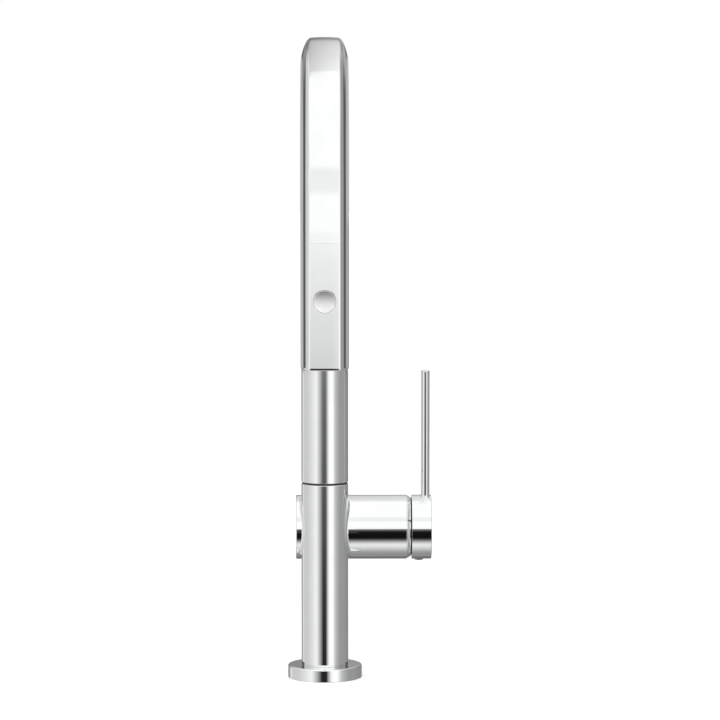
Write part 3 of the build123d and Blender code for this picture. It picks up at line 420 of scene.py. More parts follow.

# %% [markdown]
# The hose wears a braided jacket. Two families of strands wind round it in opposite directions.
# Each family is a sine of the angle round the hose plus or minus the height, and their product
# rises and falls in small diamonds. Its colour follows this as painted shade and light: darker
# where the weave sinks, lighter on the raised strands. The upright hoses stand on the column's
# axis and the handset's.

# %% Braided jacket
STRANDS = 10
BRAID_PITCH = 28.0 * MM
BRAID_RISE = 0.12 * MM
STRAND_PAINTED_SHADE = (0.12, 0.125, 0.135, 1)
STRAND_PAINTED_LIGHT = (0.36, 0.37, 0.38, 1)
STRAND_ROUGHNESS = (0.42, 0.6)
WEAVE_SHADE = (-0.6, 0.6)
FUZZ_SCALE = 900.0
tree = new_finish("hose")
x, y, z = tree.place()
by_handset = y.maths("LESS_THAN", REACH_Y / 2)
around = degrees_round(x, y - by_handset * REACH_Y) * (STRANDS * math.radians(1))
climb = z * (2 * math.pi * STRANDS / BRAID_PITCH)
weave = (around + climb).maths("SINE") * (around - climb).maths("SINE")
bump = {"Height": weave, "Distance": BRAID_RISE, "Strength": 1.0}
inputs = {
    # The strands' colour is painted shade and light: darker where the weave sinks, lighter where it rises.
    "Base Color": tree.mix(weave.ramp(*WEAVE_SHADE), STRAND_PAINTED_SHADE, STRAND_PAINTED_LIGHT),
    "Roughness": tree.noise(FUZZ_SCALE).ramp(*ROUGHNESS_NOISE, *STRAND_ROUGHNESS),
    "Normal": tree.node("ShaderNodeBump", bump),
}
finish(tree, inputs)
print("braid of", STRANDS, "strands each way")

# %% [markdown]
# Pieces without a skin are shown as the working model's own solids. Each gets the first finish
# made for its material slot, and the temperature mark behind the hub gets its own dark colour.

# %% Finishes of the working pieces
slot_finish = {slot: made for made, slot in reversed(finishes.values())}
node_slot = {part["node"]: part["material_slot"] for part in frame["record"]["subparts"]}
for name, node in frame["nodes"].items():
    node.data.materials.clear()
    node.data.materials.append(slot_finish[node_slot[name]])
frame["nodes"]["temperature_mark"].data.materials[0] = finishes["mark_plastic"][0]
print("painted", len(node_slot), "nodes")

# %% [markdown]
# Every skin is one or more grids of points. A grid's neighbours make four-cornered faces, and
# points that fall together become one, which closes seams and poles. Whole arrays keep the
# shape readable as a formula.

# %% From grids to a piece
WELD = 4e-6
WELD_SHIFT = 0.377


def skin(name, grids, body, finish_name, replaced=()):
    """One smooth piece from grids of points, riding on a body when one is given.
    Points in the same cell of a WELD-sized lattice become one. The lattice is shifted by an odd
    share of a cell, so that no plane of the mixer lies on its borders."""
    points, quads, start = [], [], 0
    for grid in grids:
        rows, columns = grid.shape[:2]
        index = start + np.arange(rows * columns).reshape(rows, columns)
        corners = [index[:-1, :-1], index[:-1, 1:], index[1:, 1:], index[1:, :-1]]
        quads.append(np.stack(corners, -1).reshape(-1, 4))
        points.append(grid.reshape(-1, 3))
        start += rows * columns
    points, quads = np.concatenate(points), np.concatenate(quads)
    keys = np.floor(points / WELD + WELD_SHIFT).astype(np.int64)
    _, first, merged = np.unique(keys, axis=0, return_index=True, return_inverse=True)
    points, quads = points[first], merged.reshape(-1)[quads]
    same = quads == np.roll(quads, -1, axis=1)
    whole = quads[same.sum(1) == 0].tolist()
    pinched = [list(dict.fromkeys(face)) for face in quads[same.sum(1) == 1].tolist()]
    mesh = bpy.data.meshes.new(name)
    mesh.from_pydata(points.tolist(), [], whole + pinched)
    shape = bmesh.new()
    shape.from_mesh(mesh)
    bmesh.ops.recalc_face_normals(shape, faces=shape.faces)
    open_edges = sum(1 for edge in shape.edges if not edge.is_manifold)
    shape.to_mesh(mesh)
    shape.free()
    mesh.shade_smooth()
    made, slot = finishes[finish_name]
    mesh.materials.append(made)
    piece = new_object(name, mesh)
    if body:
        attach(piece, body)
    if replaced:
        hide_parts(*replaced)
    counts = len(mesh.vertices), "points", len(mesh.polygons), "faces", open_edges, "open edges"
    print(name, *counts)
    return piece


# %% [markdown]
# Turned parts come from a profile that goes round an axis. Real turned edges are never sharp, so
# each corner of a profile gets a small arc. Just before an arc starts, one more point holds the
# straight run, because smooth shading would otherwise bend its reflection.

# %% Profiles and turned surfaces
HOLD = 0.05 * MM
HOLD_SHARE = 0.25
FINE_EDGE = 0.15 * MM
PLAIN_STEPS = 40
FULL_TURN = np.linspace(0, 2 * np.pi, 129)


def arc_between(first, last, turn, steps):
    """Points of an arc from one vector to another in even steps of the turn between them."""
    share = np.linspace(0, 1, steps + 1).reshape(-1, *[1] * first.ndim)
    return (np.sin((1 - share) * turn) * first + np.sin(share * turn) * last) / np.sin(turn)


def rounded(corners, arc_steps=6):
    """Profile through corners (along, out, radius). An arc of radius r touches both runs at
    r / tan(half the inner angle) from its corner. The first and last corner stay sharp."""
    path = []
    for before, here, after in zip(corners[:-2], corners[1:-1], corners[2:]):
        corner = np.array(here[:2])
        to_before, to_after = np.array(before[:2]) - corner, np.array(after[:2]) - corner
        room_before, room_after = np.linalg.norm(to_before), np.linalg.norm(to_after)
        to_before, to_after = to_before / room_before, to_after / room_after
        half = math.acos(float(np.clip(to_before @ to_after, -1, 1))) / 2
        reach = here[2] / math.tan(half) if here[2] else 0.0
        hold = min(HOLD, HOLD_SHARE * min(room_before, room_after))
        path.append(corner + to_before * (reach + hold))
        if here[2]:
            bisector = (to_before + to_after) / np.linalg.norm(to_before + to_after)
            centre = corner + bisector * here[2] / math.sin(half)
            first, last = corner + to_before * reach - centre, corner + to_after * reach - centre
            path.extend(centre + arc_between(first, last, math.pi - 2 * half, arc_steps))
        else:
            path.append(corner)
        path.append(corner + to_after * (reach + hold))
    return np.array([corners[0][:2], *path, corners[-1][:2]])


AXES = {"x": "yzx", "y": "xzy", "z": "xyz"}


def round_axis(out, turn, level, centre=(0, 0, 0), along="z"):
    """Points from how far out of an axis they are, their turn round it and their level on it."""
    across, up = out * np.cos(turn), out * np.sin(turn)
    parts = dict(zip(AXES[along], np.broadcast_arrays(across, up, level)))
    return np.stack([parts["x"], parts["y"], parts["z"]], -1) + np.array(centre)


def ring_profile(low, high, inner, outer, edge_r=0):
    """Closed rectangle of a ring, with arcs on its two outer edges."""
    start, end = (low, inner, 0), (high, inner, 0)
    return rounded([start, (low, outer, edge_r), (high, outer, edge_r), end, start])


def turned(profile, centre=(0, 0, 0), along="z", angles=FULL_TURN):
    """Grid of a profile (along, out) that goes once round an axis through centre."""
    return round_axis(profile[:, 1:2], angles, profile[:, :1], centre, along)


print("profile test", rounded([(0, 0, 0), (0, 1, 0.2), (1, 1, 0)]).shape, "points")

# %% [markdown]
# The spout's section is a soft D: a slightly crowned face, a narrow facet along each of its
# edges, bowed sides and a half-oval back. The facets give the long grey stripes beside the face.
# It always has the same number of points, in the same order, and can be mixed with others.
# A shell's inner wall is the same section drawn in by an inset, its corners by less than that.

# %% The spout's section
SPOUT_HALF = 15.35 * MM
ARCH_HALF = 15.8 * MM
FACE_Y = 15.9 * MM
BACK_Y = 15.0 * MM
FACE_HALF = 9.9 * MM
CROWN = 0.45 * MM
FACET_X = 2.05 * MM
FACET_Y = 2.25 * MM
EDGE_R = 2.8 * MM
FOOT_R = 3.4 * MM
FACET_RUN = 1.2 * MM
WAIST = -2.6 * MM
CELL = 0.84 * MM
FACE_CELLS = 10
FACE_INSET = 0.3
FOOT_INSET = 0.7
LEAST_EDGE_R = 0.5 * MM
SIDE_STEPS = 12
BACK_STEPS = 16


def face_height(x, inset=0.0):
    """How far the crowned face stands out at x: an arc through the middle and both corners."""
    face_x = FACE_HALF - FACE_INSET * inset
    face_r = (face_x**2 + CROWN**2) / (2 * CROWN)
    return FACE_Y - inset - face_r + np.sqrt(face_r**2 - x**2)


def section(half_w, inset=0.0):
    """Points of the closed section, from the middle of the face round the right side and back.
    The face is an arc whose middle stands a crown higher than its ends. The side is an arc that
    is upright at the waist and goes through the facet's lower end."""
    side = half_w - inset
    top = np.array([FACE_HALF - FACE_INSET * inset, FACE_Y - inset - CROWN])
    foot = np.array([FACE_HALF + FACET_X - FOOT_INSET * inset, top[1] - FACET_Y])
    rise, lean = foot[1] - WAIST, side - foot[0]
    side_r = (lean**2 + rise**2) / (2 * lean)
    side_c = np.array([side - side_r, WAIST])
    flat_x = np.arange(FACE_CELLS + 1) * CELL
    face = np.stack([flat_x, face_height(flat_x, inset)], -1)
    past_foot = math.atan2(rise, foot[0] - side_c[0]) - FACET_RUN / side_r
    side_turn = np.linspace(past_foot, 0, SIDE_STEPS + 1)
    side_arc = side_c + side_r * np.stack([np.cos(side_turn), np.sin(side_turn)], -1)
    edge_r, foot_r = [max(size - inset, LEAST_EDGE_R) for size in (EDGE_R, FOOT_R)]
    facet = rounded([(*face[-1], 0), (*top, edge_r), (*foot, foot_r), (*side_arc[0], 0)])
    turn = np.linspace(0, -np.pi / 2, BACK_STEPS + 1)
    back = np.stack([side * np.cos(turn), WAIST + (BACK_Y + WAIST - inset) * np.sin(turn)], -1)
    half = np.concatenate([face, facet[1:], side_arc[1:], back[1:]])
    return np.concatenate([half, half[-2::-1] * (-1, 1)])


def round_like(outline, radius):
    """A circle whose points stand in the same directions as the outline's."""
    return outline / np.linalg.norm(outline, axis=-1, keepdims=True) * radius


spout_section = section(SPOUT_HALF)
print("section", spout_section.shape, "half width", round(spout_section[:, 0].max() * 1000, 2))

# %% [markdown]
# The spout is one bent tube. Up the riser the section is a circle, and over the first part of
# the arch it turns into the soft D. A point's place is the section's point carried round the
# arch: out along the arch's radius by the section's height, across by its width. The arch's far
# end has a round dock, into which the handset's neck goes.

# %% Spout
TURN_ANGLE = math.radians(75)
ARCH_STEP = 1.5
RISER_EDGE = 0.3 * MM
BORE_R = 12.0 * MM
DOCK_R = 12.55 * MM
DOCK_DEEP = 16.3 * MM
SOCKET_R = 14.0 * MM
SOCKET_H = 44.0 * MM


def on_arch(outline, angle):
    """Carries sections (rows, points, 2) to angles (rows) round the arch."""
    out = ARCH_R + outline[..., 1]
    y = -ARCH_R + out * np.cos(angle)[:, None]
    z = ARCH_Z + out * np.sin(angle)[:, None]
    return np.stack([outline[..., 0], y, z], -1)


def upright(outline, heights, y=0.0, flip=1.0):
    """Stands sections (rows, points, 2) or one section at the given heights."""
    outline = np.broadcast_to(outline, (len(heights), *outline.shape[-2:]))
    z = np.broadcast_to(np.array(heights)[:, None], outline.shape[:2])
    return np.stack([outline[..., 0], y + flip * outline[..., 1], z], -1)


arch_angles = np.radians(np.arange(0, 180, ARCH_STEP))
arch_angles = np.append(arch_angles, [math.pi - HOLD / ARCH_R, math.pi])
early = np.clip(arch_angles / TURN_ANGLE, 0, 1)[:, None, None]
late = np.clip((arch_angles - TURN_ANGLE) / (math.pi - TURN_ANGLE), 0, 1)[:, None, None]
blend = early * early * (3 - 2 * early)
arch_section = section(ARCH_HALF)
circle = round_like(arch_section, COLUMN_R)
outer = (1 - blend) * circle + blend * ((1 - late) * arch_section + late * spout_section)
bore = round_like(spout_section, BORE_R)
dock = round_like(spout_section, DOCK_R)
riser = upright(circle, [RISER_Z + RISER_EDGE, RISER_Z + RISER_EDGE + HOLD, ARCH_Z])
arch_end = on_arch(np.stack([spout_section, dock]), np.array([math.pi, math.pi]))
dock_top = ARCH_Z + DOCK_DEEP
dock_rows = upright(np.stack([dock, dock, bore]), [ARCH_Z, dock_top, dock_top], REACH_Y, -1)
inner_angles = arch_angles[arch_angles < math.pi - DOCK_DEEP / ARCH_R]
passage = on_arch(np.broadcast_to(bore, (len(inner_angles), *bore.shape)), inner_angles[::-1])
grids = [riser, on_arch(outer, arch_angles), arch_end, np.concatenate([dock_rows, passage])]
riser_foot = [
    (BORE_R, ARCH_Z),
    (BORE_R, RISER_Z + SOCKET_H),
    (SOCKET_R, RISER_Z + SOCKET_H),
    (SOCKET_R, RISER_Z),
    (COLUMN_R - RISER_EDGE, RISER_Z),
    (COLUMN_R, RISER_Z + RISER_EDGE),
]
grids.append(np.stack([upright(round_like(spout_section, r), [z])[0] for r, z in riser_foot]))
skin("spout", grids, "spout", "chrome", ["spout_tube"])

# %% [markdown]
# The handset's push button sits in a round hole in its crowned face, and the lever's pin and
# plug sit in the hub's round side. A grid has no room for a circle, so a square patch is left
# out and filled with rings that go from the square to the circle, all of them on the surface's
# own curve, so that the reflection runs on without a dent.

# %% Holes in a curved surface
RING_SHARES = np.linspace(0, 1, 8) ** 0.8
HOLE_EDGE_TURNS = np.linspace(0, np.pi / 2, 5)[1:]


def pierced(surface, half, cells, hole_r, wall, under=None, edge_r=FINE_EDGE):
    """Rings from a square of the surface to a round hole: a ring is a mix of the square's edge
    and the circle. A quarter arc turns the rim into the hole's wall, which ends on the surface
    under it or, in a blind hole, in a floor."""
    side, full = np.linspace(-half, half, cells + 1), np.full(cells, half)
    square = np.stack([
        np.concatenate([side, full, side[::-1][1:], -full]),
        np.concatenate([-full, [-half], side[1:], full, side[::-1][1:]]),
    ])
    circle = square / np.linalg.norm(square, axis=0)
    rings = [surface(*(square * (1 - s) + circle * (hole_r + edge_r) * s), 0.0) for s in RING_SHARES]
    for turn in HOLE_EDGE_TURNS:
        ring_r = hole_r + edge_r * (1 - np.sin(turn))
        rings.append(surface(*(circle * ring_r), edge_r * (1 - np.cos(turn))))
    if under is None:
        rings += [surface(*(circle * out), wall) for out in (hole_r, 0.0)]
    else:
        rings += [under(*(square * (1 - s) + circle * hole_r * s), 0.0) for s in RING_SHARES[::-1]]
    return np.stack(rings)


print("rings of a pierced patch", len(RING_SHARES))

# %% [markdown]
# The handset is the spout's section carried straight down, a thin shell that is open below.
# Its rolled rim mirrors a thin dark line. At the seam its edge is so small that the spout seems
# to run on, and a ceiling there has a hole for the neck.

# %% Handset shell
WALL = 1.8 * MM
CEILING = 5.0 * MM
NECK_HOLE_R = 10.1 * MM
RIM_DEEP = 0.5 * MM
RIM_HIGH = 1.6 * MM
RIM_UP = 0.65 * MM
CAP_LOW, CAP_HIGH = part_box("button_cap")
BUTTON_Z = (CAP_LOW.z + CAP_HIGH.z) / 2
BUTTON_R = (CAP_HIGH.x - CAP_LOW.x) / 2
BUTTON_GAP = 0.08 * MM
PATCH_HALF = FACE_CELLS * CELL
SEAM_SEEN = 0.015 * MM
TOP_EDGE = 0.015 * MM


def face_surface(inset):
    """The face as a surface: x across, z up from the button's middle, and a depth inwards."""

    def at(x, z, depth):
        return np.stack([x, REACH_Y - face_height(x, inset) + depth, BUTTON_Z + z], -1)

    return at


def shell_rows(heights, insets):
    """Sections of the handset, one for each height, each drawn in by its inset."""
    return upright(np.stack([section(SPOUT_HALF, inset) for inset in insets]), heights, REACH_Y, -1)


def around_patch(rows, heights):
    """The rows' grid without the square patch round the button."""
    low = int(np.argmin(np.abs(heights - (BUTTON_Z - PATCH_HALF))))
    high = int(np.argmin(np.abs(heights - (BUTTON_Z + PATCH_HALF))))
    middle = rows[low : high + 1, FACE_CELLS:-FACE_CELLS]
    return [rows[: low + 1], rows[high:], middle]


low, high = HANDSET_LOW.z + RIM_UP, ARCH_Z - SEAM_SEEN
rim_turn = np.linspace(0, np.pi / 2, 13)
patch_heights = BUTTON_Z + np.linspace(-PATCH_HALF, PATCH_HALF, 2 * FACE_CELLS + 1)
outer_z = np.concatenate([
    low + RIM_HIGH * (1 - np.cos(rim_turn)),
    [low + RIM_HIGH + HOLD],
    patch_heights,
    [high - TOP_EDGE - HOLD, high - TOP_EDGE, high],
])
outer_inset = np.zeros(len(outer_z))
outer_inset[: len(rim_turn)] = RIM_DEEP * (1 - np.sin(rim_turn))
outer_inset[-1] = TOP_EDGE
inner_z = np.concatenate([[low, low + HOLD], patch_heights, [high - CEILING - HOLD, high - CEILING]])
outer_rows = shell_rows(outer_z, outer_inset)
inner_rows = shell_rows(inner_z, np.full(len(inner_z), WALL))
hole = upright(round_like(spout_section, NECK_HOLE_R), [high - CEILING, high], REACH_Y, -1)
grids = around_patch(outer_rows, outer_z) + around_patch(inner_rows, inner_z)
grids.append(np.stack([outer_rows[0], inner_rows[0]]))
grids.append(np.stack([inner_rows[-1], *hole, outer_rows[-1]]))
patch = PATCH_HALF, 2 * FACE_CELLS, BUTTON_R + BUTTON_GAP, WALL
grids.append(pierced(face_surface(0.0), *patch, face_surface(WALL)))
skin("handset", grids, "handset", "chrome", ["handset_shell"])

# %% [markdown]
# The button is a dished cap with a stem behind it. The dish is a shallow piece of a sphere with
# a satin finish, so it is shaded the other way round than a ball: dark above and light below.

# %% Button cap
DISH_R = BUTTON_R - 0.3 * MM
DISH_DEPTH = 0.26 * MM
CAP_BACK_Y = CAP_LOW.y + 2.6 * MM
STEM_R = 2.0 * MM
dish_ball = (DISH_R**2 + DISH_DEPTH**2) / (2 * DISH_DEPTH)
dish_r = np.linspace(0, DISH_R, 24)
dish_y = CAP_LOW.y + np.sqrt(dish_ball**2 - dish_r**2) - (dish_ball - DISH_DEPTH)
dish = np.stack([dish_y, dish_r], -1)
rim = rounded([
    (CAP_LOW.y, DISH_R, 0),
    (CAP_LOW.y, BUTTON_R, FINE_EDGE),
    (CAP_BACK_Y, BUTTON_R, 0.1 * MM),
    (CAP_BACK_Y, STEM_R, 0),
    (CAP_HIGH.y, STEM_R, 0.2 * MM),
    (CAP_HIGH.y, 0, 0),
])
cap = turned(np.concatenate([dish, rim]), (0, 0, BUTTON_Z), "y")
skin("button", [cap], "spray_button", "satin_chrome", ["button_cap"])

# %% [markdown]
# The column is the hard one: an upright tube with a level one behind it, joined by a small
# fillet as if a ball had rolled round the seam. The ball's centre is where two larger tubes
# cross, so the seam has a formula. Both tubes are cut along the ball's line of touch, and the
# ball's own arc fills what is left between them.

# %% The seam between column and housing
HUB_LOW, HUB_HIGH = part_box("lever_hub")
HOUSING_R = (HUB_HIGH.z - HUB_LOW.z) / 2
HOUSING_Y = (HUB_HIGH.y + HUB_LOW.y) / 2
HOUSING_Z = (HUB_HIGH.z + HUB_LOW.z) / 2
BODY_LOW, BODY_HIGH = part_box("column_body")
BALL_R = 2.0 * MM
SEAM_STEPS = 36
FINE_STEPS = 4000
far_column, far_housing = COLUMN_R + BALL_R, HOUSING_R + BALL_R
side_turn = math.asin((HOUSING_Y - far_housing) / far_column)


def ball_rise(turn):
    """How far above the housing's axis the ball's centre stands at a turn round the column."""
    behind = far_column * np.sin(turn) - HOUSING_Y
    return np.sqrt(np.clip(far_housing**2 - behind**2, 0, None))


fine = np.linspace(side_turn, np.pi / 2, FINE_STEPS + 1)
track = round_axis(far_column, fine, ball_rise(fine))
run = np.concatenate([[0], np.cumsum(np.linalg.norm(np.diff(track, axis=0), axis=1))])
quarter_turn = np.interp(np.linspace(0, run[-1], SEAM_STEPS + 1), run, fine)
quarter_rise = ball_rise(quarter_turn)
quarter_rise[0] = 0.0
quarter_tilt = np.arctan2(quarter_rise, HOUSING_Y - far_column * np.sin(quarter_turn))
loop_turn = np.concatenate([quarter_turn, np.pi - quarter_turn[::-1][1:]])
loop_rise = np.concatenate([quarter_rise, quarter_rise[::-1][1:]])
print("seam length", round(4 * run[-1] / MM, 1), "mm")

# %% [markdown]
# The column's outside is two grids, below and above the seam, whose last rows follow it. One
# more profile makes the neck on top, the hose's passage and the wide bore in the foot.

# %% Column: grids
NECK_R = 13.0 * MM
PASSAGE_R = 5.2 * MM
SHANK_BORE_R = 15.1 * MM
SHANK_BORE_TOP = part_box("tail_carrier")[1].z
TOP_BEVEL = 0.3 * MM


def held_run(start, end, hold):
    """Even steps from start, itself left out, to end, with one more point a hold from each."""
    steps = np.linspace(start, end, PLAIN_STEPS + 1)[1:-1]
    return np.concatenate([[start + hold], steps, [end - hold, end]])


front_turns = held_run(np.pi - side_turn, 2 * np.pi + side_turn, HOLD / COLUMN_R)
column_turns = np.concatenate([loop_turn, front_turns])
seam_rise = np.concatenate([loop_rise, np.zeros(len(front_turns))])


def column_rows(rows):
    """Grid of the column's outside from rows of (height, radius). A height may follow the seam."""
    level = np.stack([height + 0 * seam_rise for height, _ in rows])
    out = np.array([[radius] for _, radius in rows])
    return round_axis(out, column_turns, level)


lower_grid = column_rows([
    (COLUMN_FOOT_Z, COLUMN_R - FINE_EDGE),
    (COLUMN_FOOT_Z + FINE_EDGE, COLUMN_R),
    (COLUMN_FOOT_Z + FINE_EDGE + HOLD, COLUMN_R),
    (HOUSING_Z - seam_rise - HOLD, COLUMN_R),
    (HOUSING_Z - seam_rise, COLUMN_R),
])
upper_grid = column_rows([
    (HOUSING_Z + seam_rise, COLUMN_R),
    (HOUSING_Z + seam_rise + HOLD, COLUMN_R),
    (RING_Z - TOP_BEVEL - HOLD, COLUMN_R),
])
inside = rounded([
    (RING_Z - TOP_BEVEL - HOLD, COLUMN_R, 0),
    (RING_Z - TOP_BEVEL, COLUMN_R, 0),
    (RING_Z, COLUMN_R - TOP_BEVEL, 0),
    (RING_Z, NECK_R, 0),
    (BODY_HIGH.z, NECK_R, 0.6 * MM),
    (BODY_HIGH.z, PASSAGE_R, 0.3 * MM),
    (SHANK_BORE_TOP, PASSAGE_R, 0),
    (SHANK_BORE_TOP, SHANK_BORE_R, 0),
    (COLUMN_FOOT_Z, SHANK_BORE_R, 0.4 * MM),
    (COLUMN_FOOT_Z, COLUMN_R - FINE_EDGE, 0),
])
inside_grid = turned(inside, angles=column_turns)
print("column", lower_grid.shape, upper_grid.shape, inside_grid.shape)

# %% [markdown]
# The housing's two sides also start at the seam. The right one ends in the seat for the
# cartridge and its nut, and the left one is closed. A profile's first corner only says where
# its straight run comes from, so it is left out again.

# %% Column: housing and fillet
NUT_R = 19.6 * MM
SHOULDER_X = 46.0 * MM
SEAT_R = 17.7 * MM
SEAT_X = 19.5 * MM
RIGHT_RUN_X = 20.0 * MM
LEFT_RUN_X = -17.5 * MM
FILLET_STEPS = 8
back_tilts = held_run(quarter_tilt[-1], 2 * np.pi - quarter_tilt[-1], HOLD / HOUSING_R)
tilts = np.concatenate([-quarter_tilt[::-1], quarter_tilt[1:], back_tilts])
quarter_x = far_column * np.cos(quarter_turn)
quarter_x[-1] = 0.0
seam_x = np.concatenate([quarter_x[::-1], quarter_x[1:], np.zeros(len(back_tilts))])
housing_turns = np.pi - tilts
housing_centre = (0, HOUSING_Y, HOUSING_Z)


def housing_side(sign, profile):
    """One side of the housing: the rows along the seam, then the end's profile."""
    level = sign * np.stack([seam_x, seam_x + HOLD])
    start = round_axis(HOUSING_R, housing_turns, level, housing_centre, "x")
    return np.concatenate([start, turned(profile, housing_centre, "x", housing_turns)])


right_end = rounded([
    (RIGHT_RUN_X, HOUSING_R, 0),
    (BODY_HIGH.x, HOUSING_R, 0.4 * MM),
    (BODY_HIGH.x, NUT_R, 0.2 * MM),
    (SHOULDER_X, NUT_R, 0),
    (SHOULDER_X, SEAT_R, 0.2 * MM),
    (SEAT_X, SEAT_R, 0),
    (SEAT_X, 0, 0),
])[1:]
left_end = rounded([
    (LEFT_RUN_X, HOUSING_R, 0),
    (BODY_LOW.x, HOUSING_R, 0.8 * MM),
    (BODY_LOW.x, 0, 0),
])[1:]


def seam_fillet(sign):
    """The upper or lower half of the fillet: the ball's arc from one touch to the other."""
    centre = round_axis(far_column, loop_turn, HOUSING_Z + sign * loop_rise)
    centre[SEAM_STEPS, 0] = 0.0
    to_column = -round_axis(1.0, loop_turn, 0.0)
    from_axis = np.stack([0 * loop_turn, centre[:, 1] - HOUSING_Y, centre[:, 2] - HOUSING_Z], -1)
    to_housing = -from_axis / far_housing
    turn = np.arccos(np.clip((to_column * to_housing).sum(-1, keepdims=True), -1, 1))
    return centre + BALL_R * arc_between(to_column, to_housing, turn, FILLET_STEPS)


grids = [lower_grid, upper_grid, inside_grid, housing_side(1, right_end), housing_side(-1, left_end)]
grids += [seam_fillet(1), seam_fillet(-1)]
skin("column", grids, "mixer_body", "chrome", ["column_body"])

# %% [markdown]
# The foot, the turning ring and the lever's parts are turned on a lathe in reality, and here
# they are profiles that go round an axis. The thin dark lines between them come from real
# gaps and small edges, not from paint.

# %% Foot flange
FLANGE_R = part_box("base_flange")[1].x
GASKET_OUT = FLANGE_R - 2.0 * MM
GASKET_IN = GASKET_OUT - 4.4 * MM
GASKET_DEEP = 1.2 * MM
UPPER_BORE_R = 15.2 * MM
LOWER_BORE_R = 16.2 * MM
STEP_Z = 0.5 * COLUMN_FOOT_Z
flange = rounded([
    (STEP_Z, UPPER_BORE_R, 0),
    (COLUMN_FOOT_Z, UPPER_BORE_R, 0),
    (COLUMN_FOOT_Z, FLANGE_R, 1.0 * MM),
    (0, FLANGE_R, 0.3 * MM),
    (0, GASKET_OUT, 0),
    (GASKET_DEEP, GASKET_OUT, 0),
    (GASKET_DEEP, GASKET_IN, 0),
    (0, GASKET_IN, 0),
    (0, LOWER_BORE_R, 0.2 * MM),
    (STEP_Z, LOWER_BORE_R, 0),
    (STEP_Z, UPPER_BORE_R, 0),
])
skin("foot", [turned(flange)], "mixer_body", "chrome", ["base_flange"])

# %% [markdown]
# A dark ring of plastic parts the column from the spout that turns on it.

# %% Turning ring
RING_IN = 13.2 * MM
ring = ring_profile(RING_Z, RING_HIGH.z, RING_IN, RING_HIGH.x, FINE_EDGE)
skin("joint_ring", [turned(ring)], "mixer_body", "black_plastic", ["turning_ring"])

# %% [markdown]
# The dome closes the housing. It is part of a ball about the tilt pin, so the hub's hollow bowl
# can tilt over it with the same gap all round. Its skirt goes into the housing, up to the nut.

# %% Dome between housing and hub
TILT = next(joint["pos_m"] for joint in frame["joints"] if joint["name"] == "lever_tilt")
DOME_LOW, DOME_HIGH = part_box("dome_ring")
DOME_GAP = 0.05 * MM
DOME_FOOT_X = BODY_HIGH.x + DOME_GAP
DOME_FOOT_R = (DOME_HIGH.z - DOME_LOW.z) / 2
DOME_R = math.hypot(DOME_FOOT_X - TILT[0], DOME_FOOT_R)
DOME_WALL = 1.5 * MM
SKIRT_GAP = 0.2 * MM
SKIRT_WALL = 1.2 * MM
SKIRT_R = NUT_R - SKIRT_GAP
SKIRT_BORE = SKIRT_R - SKIRT_WALL
foot_turn = math.asin(DOME_FOOT_R / DOME_R)
open_turn = math.acos((DOME_HIGH.x - TILT[0]) / DOME_R)
bore_turn = math.asin(SKIRT_BORE / (DOME_R - DOME_WALL))


def ball_arc(radius, start, end, steps):
    """Points (along, out) of a circle about the tilt pin, its angles counted from the axis."""
    angle = np.linspace(start, end, steps)
    return np.stack([TILT[0] + radius * np.cos(angle), radius * np.sin(angle)], -1)


dome = np.concatenate([
    ball_arc(DOME_R, foot_turn, open_turn, 24),
    ball_arc(DOME_R - DOME_WALL, open_turn, bore_turn, 16),
    rounded([
        (TILT[0] + (DOME_R - DOME_WALL) * math.cos(bore_turn), SKIRT_BORE, 0),
        (DOME_LOW.x, SKIRT_BORE, 0),
        (DOME_LOW.x, SKIRT_R, 0),
        (DOME_FOOT_X, SKIRT_R, 0),
        (DOME_FOOT_X, DOME_FOOT_R, 0),
    ]),
])
skin("dome", [turned(dome, housing_centre, "x")], "mixer_body", "chrome", ["dome_ring"])

# %% [markdown]
# The lever's hub is as wide as the housing. Its bowl turns over the dome, and a boss inside
# takes the cartridge's stem. The pin's hole above and the plug's below share one grid of rows.

# %% Lever hub
PIN_LOW, PIN_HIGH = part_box("lever_pin")
PIN_X = (PIN_LOW.x + PIN_HIGH.x) / 2
PIN_R = (PIN_HIGH.x - PIN_LOW.x) / 2
PLUG_LOW, PLUG_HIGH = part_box("hub_plug")
PLUG_X = (PLUG_LOW.x + PLUG_HIGH.x) / 2
PLUG_R = (PLUG_HIGH.x - PLUG_LOW.x) / 2
BOSS_R = 6.5 * MM
BOSS_X = 63.8 * MM
BOWL_GAP = 1.0 * MM
BOWL_R = DOME_R + BOWL_GAP
HUB_GAP = 8
HUB_HALF = 7
HUB_EDGE_R = 0.5 * MM
PIN_GAP = 0.03 * MM
PLUG_GAP = 0.02 * MM
hub_cell = (PIN_X - PLUG_X) / HUB_GAP
patch_half = hub_cell * HUB_HALF
hub_rows = PLUG_X + hub_cell * np.arange(-HUB_HALF, HUB_GAP + HUB_HALF + 1)
patch_turn = np.arcsin(hub_cell * np.arange(-HUB_HALF, HUB_HALF + 1) / HOUSING_R)
side_turns = np.linspace(patch_turn[-1], np.pi - patch_turn[-1], PLAIN_STEPS + 1)[1:-1]
hub_turns = [patch_turn, side_turns, np.pi + patch_turn, np.pi + side_turns, [2 * np.pi + patch_turn[0]]]
hub_turns = np.pi / 2 - np.concatenate(hub_turns)
bowl_start = math.asin(math.sqrt(BOWL_R**2 - (HUB_LOW.x - TILT[0]) ** 2) / BOWL_R)
bowl_end = math.asin(BOSS_R / BOWL_R)
bowl = ball_arc(BOWL_R, bowl_end, bowl_start, 24)
hub_end = rounded([
    (hub_rows[-1], HOUSING_R, 0),
    (HUB_HIGH.x, HOUSING_R, HUB_EDGE_R),
    (HUB_HIGH.x, 0, 0),
])[1:]
hub_mouth = rounded([
    (HUB_LOW.x, bowl[-1][1], 0),
    (HUB_LOW.x, HOUSING_R, FINE_EDGE),
    (hub_rows[0], HOUSING_R, 0),
])[1:-1]
